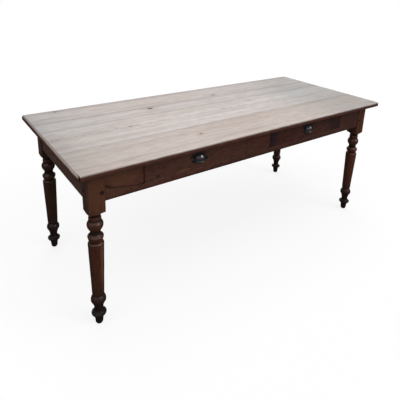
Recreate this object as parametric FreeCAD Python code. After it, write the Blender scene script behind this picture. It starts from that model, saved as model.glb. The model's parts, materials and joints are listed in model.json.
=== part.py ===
"""Old farmhouse work table: plank top, four turned legs, two dovetailed drawers.

Millimetres, +Z up. The origin is on the floor under the middle of the top. +X runs along the
table to the right of someone who faces the drawers, and the drawers open towards -Y.
"""
import FreeCAD, Part
import math
import os

from FreeCAD import Vector

# Table top: four tongued and grooved planks with a thin strip over their ends
table_height = 770.0
top_length = 1950.0
top_width = 826.0
top_thickness = 26.0
corner_radius = 14.0
top_edge_radius = 10.0
under_edge_radius = 8.0
end_strip_width = 8.0
back_plank_width = 197.0
mid_back_plank_width = 120.0
mid_front_plank_width = 275.0
tongue_thickness = 8.0
tongue_length = 7.0
tongue_end_gap = 0.5

# Legs: a square block above a turning, all from one square stick
leg_square = 70.0
leg_arris_radius = 1.5
end_overhang = 57.0
side_overhang = 52.0
block_length = 184.0

# Upper turning, heights counted down from the block. A nose share says how much of an S curve
# is the round nose at its wide end; the rest is the hollow that runs into the narrow end.
neck_top_radius = 46.0
neck_height = 22.0
neck_radius = 24.0
bead_height = 20.0
bead_radius = 26.5
upper_ball_height = 54.5
upper_ball_crown = 19.0
upper_ball_radius = 34.0
upper_ball_nose = 0.62
waist_radius = 21.8
ring_height = 45.5
ring_crown = 20.0
ring_radius = 33.5
ring_nose = 0.16
groove_radius = 20.0
column_shoulder = 10.0
column_top_radius = 33.7

# Lower turning, heights counted up from the floor
foot_height = 43.0
foot_radius = 20.0
foot_tip_height = 6.0
foot_tip_radius = 12.5
disc_height = 31.5
disc_crown = 14.0
disc_radius = 32.6
disc_nose = 0.16
cove_radius = 18.8
lower_ball_height = 75.8
lower_ball_crown = 50.5
lower_ball_radius = 33.2
lower_ball_nose = 0.16
lower_neck_radius = 22.7
column_chamfer = 9.0
column_bottom_radius = 26.0

# Aprons, their tenons and the pegs through them
apron_height = 136.0
apron_thickness = 26.0
apron_setback = 4.0
tenon_thickness = 10.0
tenon_shoulder = 12.0
tenon_wall = 4.0
mortise_end_gap = 1.5
peg_width = 11.5
peg_corner = 2.5
peg_rise = 42.0
peg_inset = 15.0
peg_bite = 14.0
peg_proud = 1.5

# Drawer notches in the front apron, from the left leg to the right one
left_cheek_width = 174.0
stile_width = 167.0
right_cheek_width = 179.0
notch_difference = 20.0
notch_height = 107.5

# Bearer, runners, guides and stops inside the frame
bearer_thickness = 30.0
bearer_height = 95.0
bearer_tenon_length = 10.0
bearer_tenon_thickness = 12.0
bearer_tenon_shoulder = 15.0
runner_height = 24.0
runner_ledge = 22.0
runner_housing = 8.0
guide_thickness = 18.0
guide_height = 40.0
stop_length = 18.0
stop_height = 20.0
stop_gap = 0.4

# Buttons that hold the top, with one screw each
button_length = 40.0
button_width = 36.0
button_thickness = 22.0
button_tongue_length = 9.0
button_tongue_height = 9.0
button_drop = 10.0
button_slot_gap = 1.5
end_button_y = 150.0
back_buttons_per_side = 2
back_button_end_room = 248.0
back_button_mid_room = 200.0
button_screw_radius = 2.2
button_screw_bite = 14.0
button_screw_head_radius = 4.6
button_screw_head_height = 2.8

# Drawers
drawer_back_room = 148.0
drawer_left_gap = 2.4
drawer_right_gap = 0.6
drawer_top_gap = 1.5
drawer_lift = 0.4
front_thickness = 22.0
side_thickness = 12.0
side_drop = 2.0
back_thickness = 12.0
bottom_thickness = 7.0
bottom_rise = 9.0
groove_depth = 5.0
dovetail_lap = 7.0
pin_tip_width = 8.0
pin_base_width = 13.0
front_tail_count = 3
back_tail_count = 2

# Cup pulls, heights counted from the line of their screws
pull_wall = 2.0
cup_radius = 33.0
cup_axis_depth = 10.0
cup_height = 46.0
cup_mouth_drop = 10.0
cup_lip = 2.2
cup_lip_height = 6.0
pull_flange = 4.0
ear_radius = 10.0
ear_spacing = 86.0
arm_width = 12.0
pull_screw_radius = 1.8
pull_screw_bite = 13.0
pull_screw_head_radius = 4.2
pull_screw_head_height = 2.2
pull_drop = 8.0

# Places that follow from the sizes
half_length = top_length / 2
half_width = top_width / 2
under_top = table_height - top_thickness
leg_half = leg_square / 2
leg_x = half_length - end_overhang - leg_half
leg_y = half_width - side_overhang - leg_half
inner_x = leg_x - leg_half
inner_y = leg_y - leg_half
apron_bottom = under_top - apron_height
front_face = -(leg_y + leg_half - apron_setback)
apron_inner = -front_face - apron_thickness
end_apron_inner = leg_x + leg_half - apron_setback - apron_thickness
tenon_depth = apron_setback + (apron_thickness + tenon_thickness) / 2
tenon_length = leg_square - tenon_depth - tenon_wall
drawer_length = apron_inner - front_face - drawer_back_room
notch_floor = under_top - notch_height
notch_run = 2 * inner_x - left_cheek_width - stile_width - right_cheek_width
left_notch_width = (notch_run - notch_difference) / 2
right_notch_width = left_notch_width + notch_difference
notches = {
    "left": (-inner_x + left_cheek_width, left_notch_width),
    "right": (-inner_x + left_cheek_width + left_notch_width + stile_width, right_notch_width),
}
leg_places = {
    "front_left": (-1, -1),
    "front_right": (1, -1),
    "back_left": (-1, 1),
    "back_right": (1, 1),
}


def box(x0, x1, y0, y1, z0, z1):
    """Block between two corners."""
    return Part.makeBox(x1 - x0, y1 - y0, z1 - z0, Vector(x0, y0, z0))


def turned(shape, degrees):
    """Copy of a shape, turned about the vertical axis through the origin."""
    copy = shape.copy()
    copy.rotate(Vector(0, 0, 0), Vector(0, 0, 1), degrees)
    return copy


def moved(shape, x, y, z):
    """Copy of a shape, moved."""
    copy = shape.copy()
    copy.translate(Vector(x, y, z))
    return copy


def cut_all(shape, tools):
    """Shape less each tool that reaches into its box, as a clean solid."""
    near = [tool for tool in tools if shape.BoundBox.intersect(tool.BoundBox)]
    if near:
        shape = shape.cut(near)
    return shape.removeSplitter()


def edges_at(shape, z):
    """Edges that lie flat at one height."""
    flat = []
    for edge in shape.Edges:
        if abs(edge.BoundBox.ZMin - z) < 0.001 and abs(edge.BoundBox.ZMax - z) < 0.001:
            flat.append(edge)
    return flat


def upright_edges(shape):
    """Straight edges that run up and down."""
    return [edge for edge in shape.Edges if edge.BoundBox.XLength + edge.BoundBox.YLength < 0.001]


def line(start, end):
    """Straight stretch of a half outline, each point a (radius, height)."""
    return Part.LineSegment(Vector(start[0], 0, start[1]), Vector(end[0], 0, end[1])).toShape()


def swell(start, crown):
    """Arc of a half outline that leaves start and is upright at its crown.

    The crown is the widest point of a ball or the narrowest point of a cove.
    """
    across = crown[0] - start[0]
    along = start[1] - crown[1]
    radius = (across ** 2 + along ** 2) / (2 * across)
    centre = Vector(crown[0] - radius, 0, crown[1])
    first = Vector(start[0], 0, start[1])
    last = Vector(crown[0], 0, crown[1])
    halfway = ((first - centre) + (last - centre)).normalize()
    return Part.Arc(first, centre + halfway * abs(radius), last).toShape()


def ball(top, crown, bottom):
    """Two arcs that meet at the widest point."""
    return [swell(top, crown), swell(bottom, crown)]


def ogee(wide, narrow, nose):
    """Convex arc that runs into a concave one, upright at both ends."""
    turn = (wide[0] + (narrow[0] - wide[0]) * nose, wide[1] + (narrow[1] - wide[1]) * nose)
    return [swell(turn, wide), swell(turn, narrow)]


def lathe_room():
    """All that the lathe tool leaves of a leg: nothing is cut from the block above the turning."""
    block_end = under_top - block_length
    clear = leg_square
    neck = (neck_radius, block_end - neck_height)
    bead_crown = (bead_radius, neck[1] - bead_height / 2)
    bead_foot = (neck_radius, neck[1] - bead_height)
    ball_crown = (upper_ball_radius, bead_foot[1] - upper_ball_crown)
    waist = (waist_radius, bead_foot[1] - upper_ball_height)
    ring_wide = (ring_radius, waist[1] - ring_crown)
    groove = (groove_radius, waist[1] - ring_height)
    column_top = (column_top_radius, groove[1] - column_shoulder)
    foot_top = (foot_radius, foot_height)
    disc_wide = (disc_radius, foot_height + disc_crown)
    cove = (cove_radius, foot_height + disc_height)
    low_ball_wide = (lower_ball_radius, cove[1] + lower_ball_crown)
    low_neck = (lower_neck_radius, cove[1] + lower_ball_height)
    column_foot = (column_bottom_radius, low_neck[1] + column_chamfer)
    foot_side = ((foot_radius + foot_tip_radius) / 2, foot_tip_height)

    outline = [line((0, under_top), (clear, under_top)), line((clear, under_top), (clear, block_end))]
    outline.append(line((clear, block_end), (neck_top_radius, block_end)))
    outline.append(swell((neck_top_radius, block_end), neck))
    outline += ball(neck, bead_crown, bead_foot)
    outline.append(swell(bead_foot, ball_crown))
    outline += ogee(ball_crown, waist, upper_ball_nose)
    outline += ogee(ring_wide, waist, ring_nose)
    outline.append(swell(groove, ring_wide))
    outline.append(swell(groove, column_top))
    outline.append(line(column_top, column_foot))
    outline.append(line(column_foot, low_neck))
    outline.append(swell(low_neck, low_ball_wide))
    outline += ogee(low_ball_wide, cove, lower_ball_nose)
    outline += ogee(disc_wide, cove, disc_nose)
    outline.append(swell(foot_top, disc_wide))
    outline.append(line(foot_top, foot_side))
    outline.append(line(foot_side, (foot_tip_radius, 0)))
    outline.append(line((foot_tip_radius, 0), (0, 0)))
    outline.append(line((0, 0), (0, under_top)))
    half = Part.Face(Part.Wire(Part.__sortEdges__(outline)))
    return half.revolve(Vector(0, 0, 0), Vector(0, 0, 1), 360)


def apron_blank(span, reach):
    """Board between two legs with a tenon at each end, its outer face at y = -reach."""
    y0 = -reach
    board = box(-span / 2, span / 2, y0, y0 + apron_thickness, apron_bottom, under_top)
    return board.fuse(tenon_bar(span, reach, tenon_length)).removeSplitter()


def tenon_bar(span, reach, length):
    """Bar that holds both tenons of an apron, or both mortises where length is the deeper one."""
    y0 = -reach + (apron_thickness - tenon_thickness) / 2
    half = span / 2 + length
    return box(-half, half, y0, y0 + tenon_thickness,
               apron_bottom + tenon_shoulder, under_top - tenon_shoulder)


def peg(x, reach):
    """Hand cut peg driven in +Y through a leg face at y = -reach, set on its corner."""
    half = peg_width / 2
    edge = half - peg_corner
    corners = [(half, edge), (edge, half), (-edge, half), (-half, edge),
               (-half, -edge), (-edge, -half), (edge, -half), (half, -edge)]
    points = [Vector(u, 0, w) for u, w in corners]
    section = Part.Face(Part.makePolygon(points + points[:1]))
    section.rotate(Vector(0, 0, 0), Vector(0, 1, 0), 45)
    bar = section.extrude(Vector(0, peg_proud + tenon_depth + peg_bite, 0))
    return moved(bar, x, -reach - peg_proud, apron_bottom + peg_rise)


def all_pegs():
    """Two pegs for each leg: one through the long apron's tenon, one through the end apron's."""
    pegs = []
    for side in (-1, 1):
        for turn in (0, 180):
            pegs.append(turned(peg(side * (inner_x + peg_inset), leg_y + leg_half), turn))
        for turn in (90, -90):
            pegs.append(turned(peg(side * (inner_y + peg_inset), leg_x + leg_half), turn))
    return pegs


def runner(edge, side):
    """Runner under one side of a notch; side is -1 at the notch's left edge and 1 at its right."""
    inside = edge - side * runner_ledge
    outside = edge + side * guide_thickness
    reach = apron_inner + runner_housing
    return box(min(inside, outside), max(inside, outside), -reach, reach,
               notch_floor - runner_height, notch_floor)


def guide(edge, side):
    """Strip on the runner that keeps the drawer straight."""
    outside = edge + side * guide_thickness
    return box(min(edge, outside), max(edge, outside), -apron_inner, apron_inner,
               notch_floor, notch_floor + guide_height)


def stop(edge, side):
    """Block on the runner that the drawer side meets when it is shut."""
    near = edge - side * (drawer_left_gap if side < 0 else drawer_right_gap)
    inside = edge - side * runner_ledge
    y0 = front_face + drawer_length + stop_gap
    return box(min(near, inside), max(near, inside), y0, y0 + stop_length,
               notch_floor, notch_floor + stop_height)


def bearer():
    """Cross piece under the middle of the top, with a stub tenon in each long apron."""
    left_x, left_width = notches["left"]
    middle = left_x + left_width + stile_width / 2
    low = under_top - bearer_height
    half = bearer_thickness / 2
    half_tenon = bearer_tenon_thickness / 2
    reach = apron_inner + bearer_tenon_length
    body = box(middle - half, middle + half, -apron_inner, apron_inner, low, under_top)
    tenons = box(middle - half_tenon, middle + half_tenon, -reach, reach,
                 low + bearer_tenon_shoulder, under_top - bearer_tenon_shoulder)
    return body.fuse(tenons).removeSplitter()


def button_at(x, reach, turn):
    """Button, its screw and its slot, on the inner face of an apron at y = -reach before the turn."""
    half = button_width / 2
    low = under_top - button_thickness
    tongue_top = under_top - button_drop
    body = box(x - half, x + half, -reach, -reach + button_length, low, under_top)
    tongue = box(x - half, x + half, -reach - button_tongue_length, -reach,
                 tongue_top - button_tongue_height, tongue_top)
    slot = box(x - half - button_slot_gap, x + half + button_slot_gap,
               -reach - button_tongue_length - button_slot_gap, -reach,
               tongue_top - button_tongue_height - button_slot_gap, tongue_top)
    place = Vector(x, -reach + button_length / 2, low)
    shank = Part.makeCylinder(button_screw_radius, button_thickness + button_screw_bite, place)
    head_place = place - Vector(0, 0, button_screw_head_height)
    head = Part.makeCylinder(button_screw_head_radius, button_screw_head_height, head_place)
    screw = shank.fuse(head).removeSplitter()
    block = body.fuse(tongue).cut(shank).removeSplitter()
    return {"block": turned(block, turn), "screw": turned(screw, turn), "slot": turned(slot, turn)}


def all_buttons():
    """Buttons on the front cheeks, along the back apron and on both end aprons."""
    left_x, left_width = notches["left"]
    right_x, right_width = notches["right"]
    cheeks = ((left_x - inner_x) / 2, (right_x + right_width + inner_x) / 2)
    buttons = [button_at(x, apron_inner, 0) for x in cheeks]
    outer_x = inner_x - back_button_end_room
    pitch = (outer_x - back_button_mid_room) / max(back_buttons_per_side - 1, 1)
    for side in (-1, 1):
        for index in range(back_buttons_per_side):
            buttons.append(button_at(side * (outer_x - index * pitch), apron_inner, 180))
    for turn in (90, -90):
        for y in (-end_button_y, end_button_y):
            buttons.append(button_at(y, end_apron_inner, turn))
    return buttons


def top_pieces(screws):
    """Planks and end strips, all cut from one slab with rounded edges."""
    slab = box(-half_length, half_length, -half_width, half_width, under_top, table_height)
    slab = slab.makeFillet(corner_radius, upright_edges(slab))
    slab = slab.makeFillet(min(top_edge_radius, corner_radius), edges_at(slab, table_height))
    slab = slab.makeFillet(min(under_edge_radius, corner_radius), edges_at(slab, under_top))
    plank_end = half_length - end_strip_width
    pieces = {
        "end_strip_left": slab.common(box(-half_length, -plank_end, -half_width, half_width,
                                          under_top, table_height)),
        "end_strip_right": slab.common(box(plank_end, half_length, -half_width, half_width,
                                           under_top, table_height)),
    }
    first_joint = half_width - back_plank_width
    second_joint = first_joint - mid_back_plank_width
    third_joint = second_joint - mid_front_plank_width
    planks = {
        "top_plank_back": (first_joint, half_width),
        "top_plank_mid_back": (second_joint, first_joint),
        "top_plank_mid_front": (third_joint, second_joint),
        "top_plank_front": (-half_width, third_joint),
    }
    tongue_low = under_top + (top_thickness - tongue_thickness) / 2
    tongue_high = tongue_low + tongue_thickness
    for name, (front, back) in planks.items():
        plank = slab.common(box(-plank_end, plank_end, front, back, under_top, table_height))
        if front > -half_width:
            tongue = box(-plank_end, plank_end, front - tongue_length, front, tongue_low, tongue_high)
            plank = plank.fuse(tongue)
        if back < half_width:
            groove_floor = back - tongue_length - tongue_end_gap
            groove = box(-plank_end, plank_end, groove_floor, back, tongue_low, tongue_high)
            plank = plank.cut(groove)
        pieces[name] = cut_all(plank, screws)
    return pieces


def pin_wedges(x0, y_end, y_base, low, high, tail_count):
    """Wedges cut from a drawer side between its tails, narrow at the side's end."""
    wedges = []
    pitch = (high - low) / tail_count
    for index in range(tail_count + 1):
        middle = low + index * pitch
        outline = []
        for y, width in ((y_end, pin_tip_width), (y_base, pin_base_width)):
            outline.append(Vector(x0, y, max(low, middle - width / 2)))
            outline.append(Vector(x0, y, min(high, middle + width / 2)))
        outline = [outline[0], outline[1], outline[3], outline[2], outline[0]]
        face = Part.Face(Part.makePolygon(outline))
        wedges.append(face.extrude(Vector(side_thickness, 0, 0)))
    return wedges


def drawer_side(x0, bottom_panel, low, high):
    """Drawer side with lapped tails in the front and through tails in the back."""
    front_end = front_face + dovetail_lap
    rear_end = front_face + drawer_length
    board = box(x0, x0 + side_thickness, front_end, rear_end, low, high)
    front_wedges = pin_wedges(x0, front_end, front_face + front_thickness, low, high, front_tail_count)
    panel_top = low + bottom_rise + bottom_thickness
    back_wedges = pin_wedges(x0, rear_end, rear_end - back_thickness, panel_top, high, back_tail_count)
    return board.cut(front_wedges + back_wedges + [bottom_panel]).removeSplitter()


def cup_turning(outline):
    """Turn a closed half outline about the cup's upright axis and keep what stands before y = 0."""
    face = Part.Face(Part.Wire(Part.__sortEdges__(outline)))
    body = face.revolve(Vector(0, 0, 0), Vector(0, 0, 1), 360)
    reach = cup_radius + pull_flange
    front = box(-reach, reach, -reach, -cup_axis_depth, 0, cup_height + pull_flange)
    return moved(body.common(front), 0, cup_axis_depth, -cup_mouth_drop)


def cup_solid(grow):
    """The cup filled up, with its outside moved outwards by grow."""
    crown = (cup_radius + grow, 0)
    tip = (0, cup_height + grow)
    return cup_turning([line((0, 0), crown), swell(tip, crown), line(tip, (0, 0))])


def cup_shell():
    """The cup's wall with a rolled lip round its mouth."""
    inner = (cup_radius - pull_wall, 0)
    inner_tip = (0, cup_height - pull_wall)
    outer = (cup_radius, cup_lip_height)
    outer_tip = (0, cup_height)
    lip = (cup_radius + cup_lip, cup_lip_height / 2)
    lip_foot = (cup_radius, 0)
    outline = [line(lip_foot, inner), swell(inner_tip, inner), line(inner_tip, outer_tip)]
    outline.append(swell(outer_tip, outer))
    outline += ball(outer, lip, lip_foot)
    return cup_turning(outline)


def cup_pull():
    """Cup pull on the plane y = 0, with the middle of its screw line at the origin."""
    hollow = cup_solid(-pull_wall)
    reach = cup_radius + pull_flange
    plate_box = box(-reach, reach, -pull_wall, 0, -cup_mouth_drop, cup_height + pull_flange)
    body = cup_solid(pull_flange).common(plate_box)
    holes = []
    for side in (-1, 1):
        centre = Vector(side * ear_spacing / 2, 0, 0)
        ear = Part.makeCylinder(ear_radius, pull_wall, centre, Vector(0, -1, 0))
        arm = box(min(centre.x, 0), max(centre.x, 0), -pull_wall, 0, -arm_width / 2, arm_width / 2)
        body = body.fuse([ear, arm])
        holes.append(Part.makeCylinder(pull_screw_radius, pull_wall, centre, Vector(0, -1, 0)))
    plate = body.cut([hollow] + holes)
    return plate.fuse(cup_shell()).removeSplitter()


def pull_screw(side):
    """Round headed screw in one ear of the pull."""
    seat = pull_screw_bite + pull_wall
    rim = (pull_screw_head_radius, seat)
    crown = (0, seat + pull_screw_head_height)
    rise = pull_screw_head_height
    dome_radius = (pull_screw_head_radius ** 2 + rise ** 2) / (2 * rise)
    halfway = math.asin(pull_screw_head_radius / dome_radius) / 2
    dome_centre = crown[1] - dome_radius
    shoulder = Vector(dome_radius * math.sin(halfway), 0, dome_centre + dome_radius * math.cos(halfway))
    dome = Part.Arc(Vector(rim[0], 0, rim[1]), shoulder, Vector(crown[0], 0, crown[1])).toShape()
    tip = (pull_screw_radius, 0)
    neck = (pull_screw_radius, seat)
    outline = [line((0, 0), tip), line(tip, neck), line(neck, rim), dome, line(crown, (0, 0))]
    screw = Part.Face(Part.Wire(outline)).revolve(Vector(0, 0, 0), Vector(0, 0, 1), 360)
    screw.rotate(Vector(0, 0, 0), Vector(1, 0, 0), 90)
    return moved(screw, side * ear_spacing / 2, pull_screw_bite, 0)


def drawer_pieces(side, notch_x, notch_width):
    """The seven pieces of one drawer, shut in its notch."""
    left = notch_x + drawer_left_gap
    right = notch_x + notch_width - drawer_right_gap
    low = notch_floor + drawer_lift
    front_high = under_top - drawer_top_gap
    side_high = front_high - side_drop
    rear_end = front_face + drawer_length
    front_back = front_face + front_thickness
    panel_low = low + bottom_rise
    panel_high = panel_low + bottom_thickness
    panel = box(left + side_thickness - groove_depth, right - side_thickness + groove_depth,
                front_back - groove_depth, rear_end, panel_low, panel_high)
    side_left = drawer_side(left, panel, low, side_high)
    side_right = drawer_side(right - side_thickness, panel, low, side_high)
    back = box(left, right, rear_end - back_thickness, rear_end, panel_high, side_high)
    pull_place = ((left + right) / 2, front_face, (low + front_high) / 2 - pull_drop)
    pull = moved(cup_pull(), *pull_place)
    screws = [moved(pull_screw(end), *pull_place) for end in (-1, 1)]
    front = box(left, right, front_face, front_back, low, front_high)
    prefix = "drawer_" + side
    return {
        prefix + "_front": cut_all(front, [side_left, side_right, panel] + screws),
        prefix + "_side_left": side_left,
        prefix + "_side_right": side_right,
        prefix + "_back": cut_all(back, [side_left, side_right]),
        prefix + "_bottom": panel,
        prefix + "_pull": pull,
        prefix + "_pull_screws": Part.makeCompound(screws),
    }


def frame_pieces(buttons):
    """Legs, aprons, pegs, bearer, runners, guides and stops."""
    pieces = {}
    pegs = all_pegs()
    slots = [button["slot"] for button in buttons]
    long_span = 2 * inner_x
    end_span = 2 * inner_y
    long_reach = -front_face
    end_reach = end_apron_inner + apron_thickness
    runners = {}
    stops = []
    for side, (notch_x, notch_width) in notches.items():
        edges = {"left": (notch_x, -1), "right": (notch_x + notch_width, 1)}
        for hand, (edge, sign) in edges.items():
            runners["runner_%s_drawer_%s" % (side, hand)] = runner(edge, sign)
            pieces["guide_%s_drawer_%s" % (side, hand)] = guide(edge, sign)
            stops.append(stop(edge, sign))
    pieces.update(runners)
    pieces["drawer_stops"] = Part.makeCompound(stops)
    cross = bearer()
    pieces["center_bearer"] = cross

    housed = list(runners.values()) + [cross]
    long_blank = apron_blank(long_span, long_reach)
    end_blank = apron_blank(end_span, end_reach)
    notch_tools = [box(x, x + width, front_face, front_face + apron_thickness, notch_floor, under_top)
                   for x, width in notches.values()]
    pieces["apron_front"] = cut_all(long_blank, notch_tools + housed + pegs + slots)
    pieces["apron_back"] = cut_all(turned(long_blank, 180), housed + pegs + slots)
    pieces["apron_left"] = cut_all(turned(end_blank, -90), pegs + slots)
    pieces["apron_right"] = cut_all(turned(end_blank, 90), pegs + slots)

    deep = tenon_length + mortise_end_gap
    mortises = [turned(tenon_bar(long_span, long_reach, deep), turn) for turn in (0, 180)]
    mortises += [turned(tenon_bar(end_span, end_reach, deep), turn) for turn in (90, -90)]
    square = box(-leg_half, leg_half, -leg_half, leg_half, 0, under_top)
    square = square.makeFillet(leg_arris_radius, upright_edges(square))
    stick = square.common(lathe_room()).removeSplitter()
    for name, (x_sign, y_sign) in leg_places.items():
        leg = moved(stick, x_sign * leg_x, y_sign * leg_y, 0)
        pieces["leg_" + name] = cut_all(leg, mortises + pegs)
    pieces["joint_pegs"] = Part.makeCompound(pegs)
    return pieces


def one_solid(shape):
    """A lone solid out of its wrapper; a group of solids stays a group."""
    if len(shape.Solids) == 1:
        return shape.Solids[0]
    return shape


def main():
    """Build every piece and write it to its own file."""
    buttons = all_buttons()
    button_screws = [button["screw"] for button in buttons]
    pieces = top_pieces(button_screws)
    pieces.update(frame_pieces(buttons))
    pieces["top_buttons"] = Part.makeCompound([button["block"] for button in buttons])
    pieces["button_screws"] = Part.makeCompound(button_screws)
    for side, (notch_x, notch_width) in notches.items():
        pieces.update(drawer_pieces(side, notch_x, notch_width))
    os.makedirs("parts", exist_ok=True)
    for name, shape in pieces.items():
        shape = one_solid(shape)
        shape.exportStep("parts/%s.step" % name)
        print("%-28s solids %2d  volume %12.1f  valid %s"
              % (name, len(shape.Solids), shape.Volume, shape.isValid()))


main()
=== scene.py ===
# %% [markdown]
# # An old work table, dressed for its portrait
# The boards, turned legs and drawers of this table were drawn in CAD at their real size. This
# lesson gives them what years in a kitchen gave the real one: softened arrises, a scrubbed
# top, a dark stain that has rubbed through, and cup pulls. Some light and shade is painted
# into the colours as well: bright crowns on the pulls are painted highlights, the end aprons
# have a painted sheen, and there is painted shade on the legs, the front apron, the drawer
# gaps and the ends of the top.
#
# The CAD model comes first, because everything else takes its place and size from it.

# %% Load the frame
import json
import math

import bmesh
import bpy
import numpy as np
from mathutils import Matrix, Vector, noise

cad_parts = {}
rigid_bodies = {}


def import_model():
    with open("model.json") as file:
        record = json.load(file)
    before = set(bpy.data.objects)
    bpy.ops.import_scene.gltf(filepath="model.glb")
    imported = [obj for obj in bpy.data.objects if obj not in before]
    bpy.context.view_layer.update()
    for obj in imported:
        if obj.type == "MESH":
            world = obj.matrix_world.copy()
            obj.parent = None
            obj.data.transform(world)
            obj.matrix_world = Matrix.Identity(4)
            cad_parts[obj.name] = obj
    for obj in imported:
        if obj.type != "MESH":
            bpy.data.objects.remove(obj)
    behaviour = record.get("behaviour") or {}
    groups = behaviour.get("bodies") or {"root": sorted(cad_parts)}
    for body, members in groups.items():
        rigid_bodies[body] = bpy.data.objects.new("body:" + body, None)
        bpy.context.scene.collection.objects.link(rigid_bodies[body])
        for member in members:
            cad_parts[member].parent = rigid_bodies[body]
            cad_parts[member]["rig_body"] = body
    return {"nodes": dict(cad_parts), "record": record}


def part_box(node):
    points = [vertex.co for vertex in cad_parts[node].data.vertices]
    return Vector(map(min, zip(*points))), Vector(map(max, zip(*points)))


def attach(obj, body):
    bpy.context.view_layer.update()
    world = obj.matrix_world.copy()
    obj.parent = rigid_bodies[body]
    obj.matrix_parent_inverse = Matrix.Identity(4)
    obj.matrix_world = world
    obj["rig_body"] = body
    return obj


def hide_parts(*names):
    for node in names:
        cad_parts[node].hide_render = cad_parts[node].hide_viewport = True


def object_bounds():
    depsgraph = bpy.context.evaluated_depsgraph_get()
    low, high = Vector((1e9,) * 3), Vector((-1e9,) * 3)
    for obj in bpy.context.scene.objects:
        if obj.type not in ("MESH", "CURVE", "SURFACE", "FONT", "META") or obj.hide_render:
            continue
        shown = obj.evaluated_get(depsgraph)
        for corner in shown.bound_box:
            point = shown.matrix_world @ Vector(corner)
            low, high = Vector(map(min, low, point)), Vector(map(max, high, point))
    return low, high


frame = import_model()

MM = 0.001
cad_low, cad_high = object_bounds()
nodes = frame["nodes"]
print("CAD box in mm", [round(v / MM) for v in cad_high - cad_low])

# %% [markdown]
# ## The camera
# The picture was taken from off the left front corner, at about the height of the eyes, and
# cut from the lower part of a wider frame. A lens shift repeats such a cut without tilting the
# camera, so the legs lean together exactly as much as they do in the picture.

# %% Camera
CAMERA_PLACE = (-1.4096, -1.7541, 1.4699)
CAMERA_TURN_DEGREES = (73.28, -2.13, -36.21)
LENS_MM = 36.76
SENSOR_MM = 36.0
CUT_SHIFT = (-0.0145, -0.2416)

scene = bpy.context.scene
camera_data = bpy.data.cameras.new("camera")
camera_data.lens = LENS_MM
camera_data.sensor_width = SENSOR_MM
camera_data.shift_x, camera_data.shift_y = CUT_SHIFT
camera = bpy.data.objects.new("camera", camera_data)
camera.location = CAMERA_PLACE
camera.rotation_euler = [math.radians(angle) for angle in CAMERA_TURN_DEGREES]
scene.collection.objects.link(camera)
scene.camera = camera
scene.view_settings.view_transform = "Standard"
print("camera", round(Vector(CAMERA_PLACE).length, 2), "m from the middle of the floor")

# %% [markdown]
# ## Small helpers for node trees
# Every finish below is a tree of shader nodes. Made by hand in the editor, a tree is quick to
# try but slow to repeat, so a few short functions add one node each and hand back its output.
# A value that is a socket is linked, and anything else becomes the input's own number.

# %% Node helpers
def feed(tree, socket, value):
    """Link a socket to an input, or set the input's own value."""
    if isinstance(value, bpy.types.NodeSocket):
        tree.links.new(value, socket)
    else:
        socket.default_value = value


def add_node(tree, kind, inputs=None, **settings):
    """One node with its settings and inputs."""
    made = tree.nodes.new(kind)
    for name, value in settings.items():
        setattr(made, name, value)
    for name, value in (inputs or {}).items():
        feed(tree, made.inputs[name], value)
    return made


def sums(tree, operation, first, second=0.0, third=0.0):
    """Math node with up to three inputs."""
    made = add_node(tree, "ShaderNodeMath", operation=operation)
    for socket, value in zip(made.inputs, (first, second, third)):
        feed(tree, socket, value)
    return made.outputs[0]


def ease(tree, value, low, high, start=0.0, end=1.0):
    """Smooth step from start to end while value goes from low to high."""
    inputs = {"Value": value, "From Min": low, "From Max": high, "To Min": start, "To Max": end}
    made = add_node(tree, "ShaderNodeMapRange", inputs, interpolation_type="SMOOTHSTEP")
    return made.outputs[0]


print("helpers for links, sums and soft steps ready")

# %% [markdown]
# ## Colour and noise
# A finish mixes colours by masks, and most masks are soft noise. Noise that is dense across
# the grain and sparse along it looks like wood, so every cloud has its own density for each
# axis. A soft step then turns the grey noise into patches with clear or with blurred borders.

# %% Colour helpers
def tint(tree, share, first, second, kind="MIX"):
    """Mix of two colours; among the sockets of a Mix node, 6 and 7 are the ones for colour."""
    made = add_node(tree, "ShaderNodeMix", data_type="RGBA", blend_type=kind)
    for socket, value in ((0, share), (6, first), (7, second)):
        feed(tree, made.inputs[socket], value)
    return made.outputs[2]


def cloud(tree, space, stretch, detail=2.0):
    """Soft noise from 0 to 1, with its own density along each axis."""
    moved = add_node(tree, "ShaderNodeMapping", {"Vector": space, "Scale": stretch})
    made = add_node(tree, "ShaderNodeTexNoise", {"Vector": moved.outputs[0], "Detail": detail})
    made.inputs["Scale"].default_value = 1.0
    return made.outputs["Fac"]


def clouded(tree, colour, second, space, stretch, detail, span, share, kind="MIX"):
    """Colour with soft clouds of a second colour, which fade in over a span of the noise."""
    mask = ease(tree, cloud(tree, space, stretch, detail), *span, 0.0, share)
    return tint(tree, mask, colour, second, kind)


def new_finish(name):
    """New material; returns it with its tree and its Principled shader."""
    finish = bpy.data.materials.new(name)
    finish.use_nodes = True
    return finish, finish.node_tree, finish.node_tree.nodes["Principled BSDF"]


print("helpers for colours and finishes ready")

# %% [markdown]
# ## Light
# A cut-out picture has no shadows to copy, only an even, cool daylight from above. One broad
# sun stands for the bright sky overhead and three weaker ones for windows in front, on the
# left and behind, while the world fills in from everywhere. Suns are used because their light
# doesn't fade with distance. A real table stands in a room, though, and its wax and metal show
# dim walls, not a white void. So the world is white to the camera, grey to shiny faces, and
# weak as a lamp: the Light Path node tells them apart. To shiny faces the world also grows
# darker from the ceiling down to the floor.

# %% World and suns
SKY = {"camera": 1.0, "mirror": 0.26, "light": 0.24}
WALL_MIRROR = 0.05
WALL_TOP_RISE = 0.55
SUNS = {
    "sky_sun": {"level": 0.485, "from": (0.05, -0.30, 1.0), "spread": 95.0},
    "front_sun": {"level": 0.33, "from": (0.60, -1.0, 0.50), "spread": 40.0},
    "left_sun": {"level": 0.14, "from": (-1.0, -0.20, 0.40), "spread": 60.0},
    "back_sun": {"level": 0.36, "from": (0.25, 1.0, 0.28), "spread": 60.0},
}
WHITE = (1.0, 1.0, 1.0, 1.0)


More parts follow.
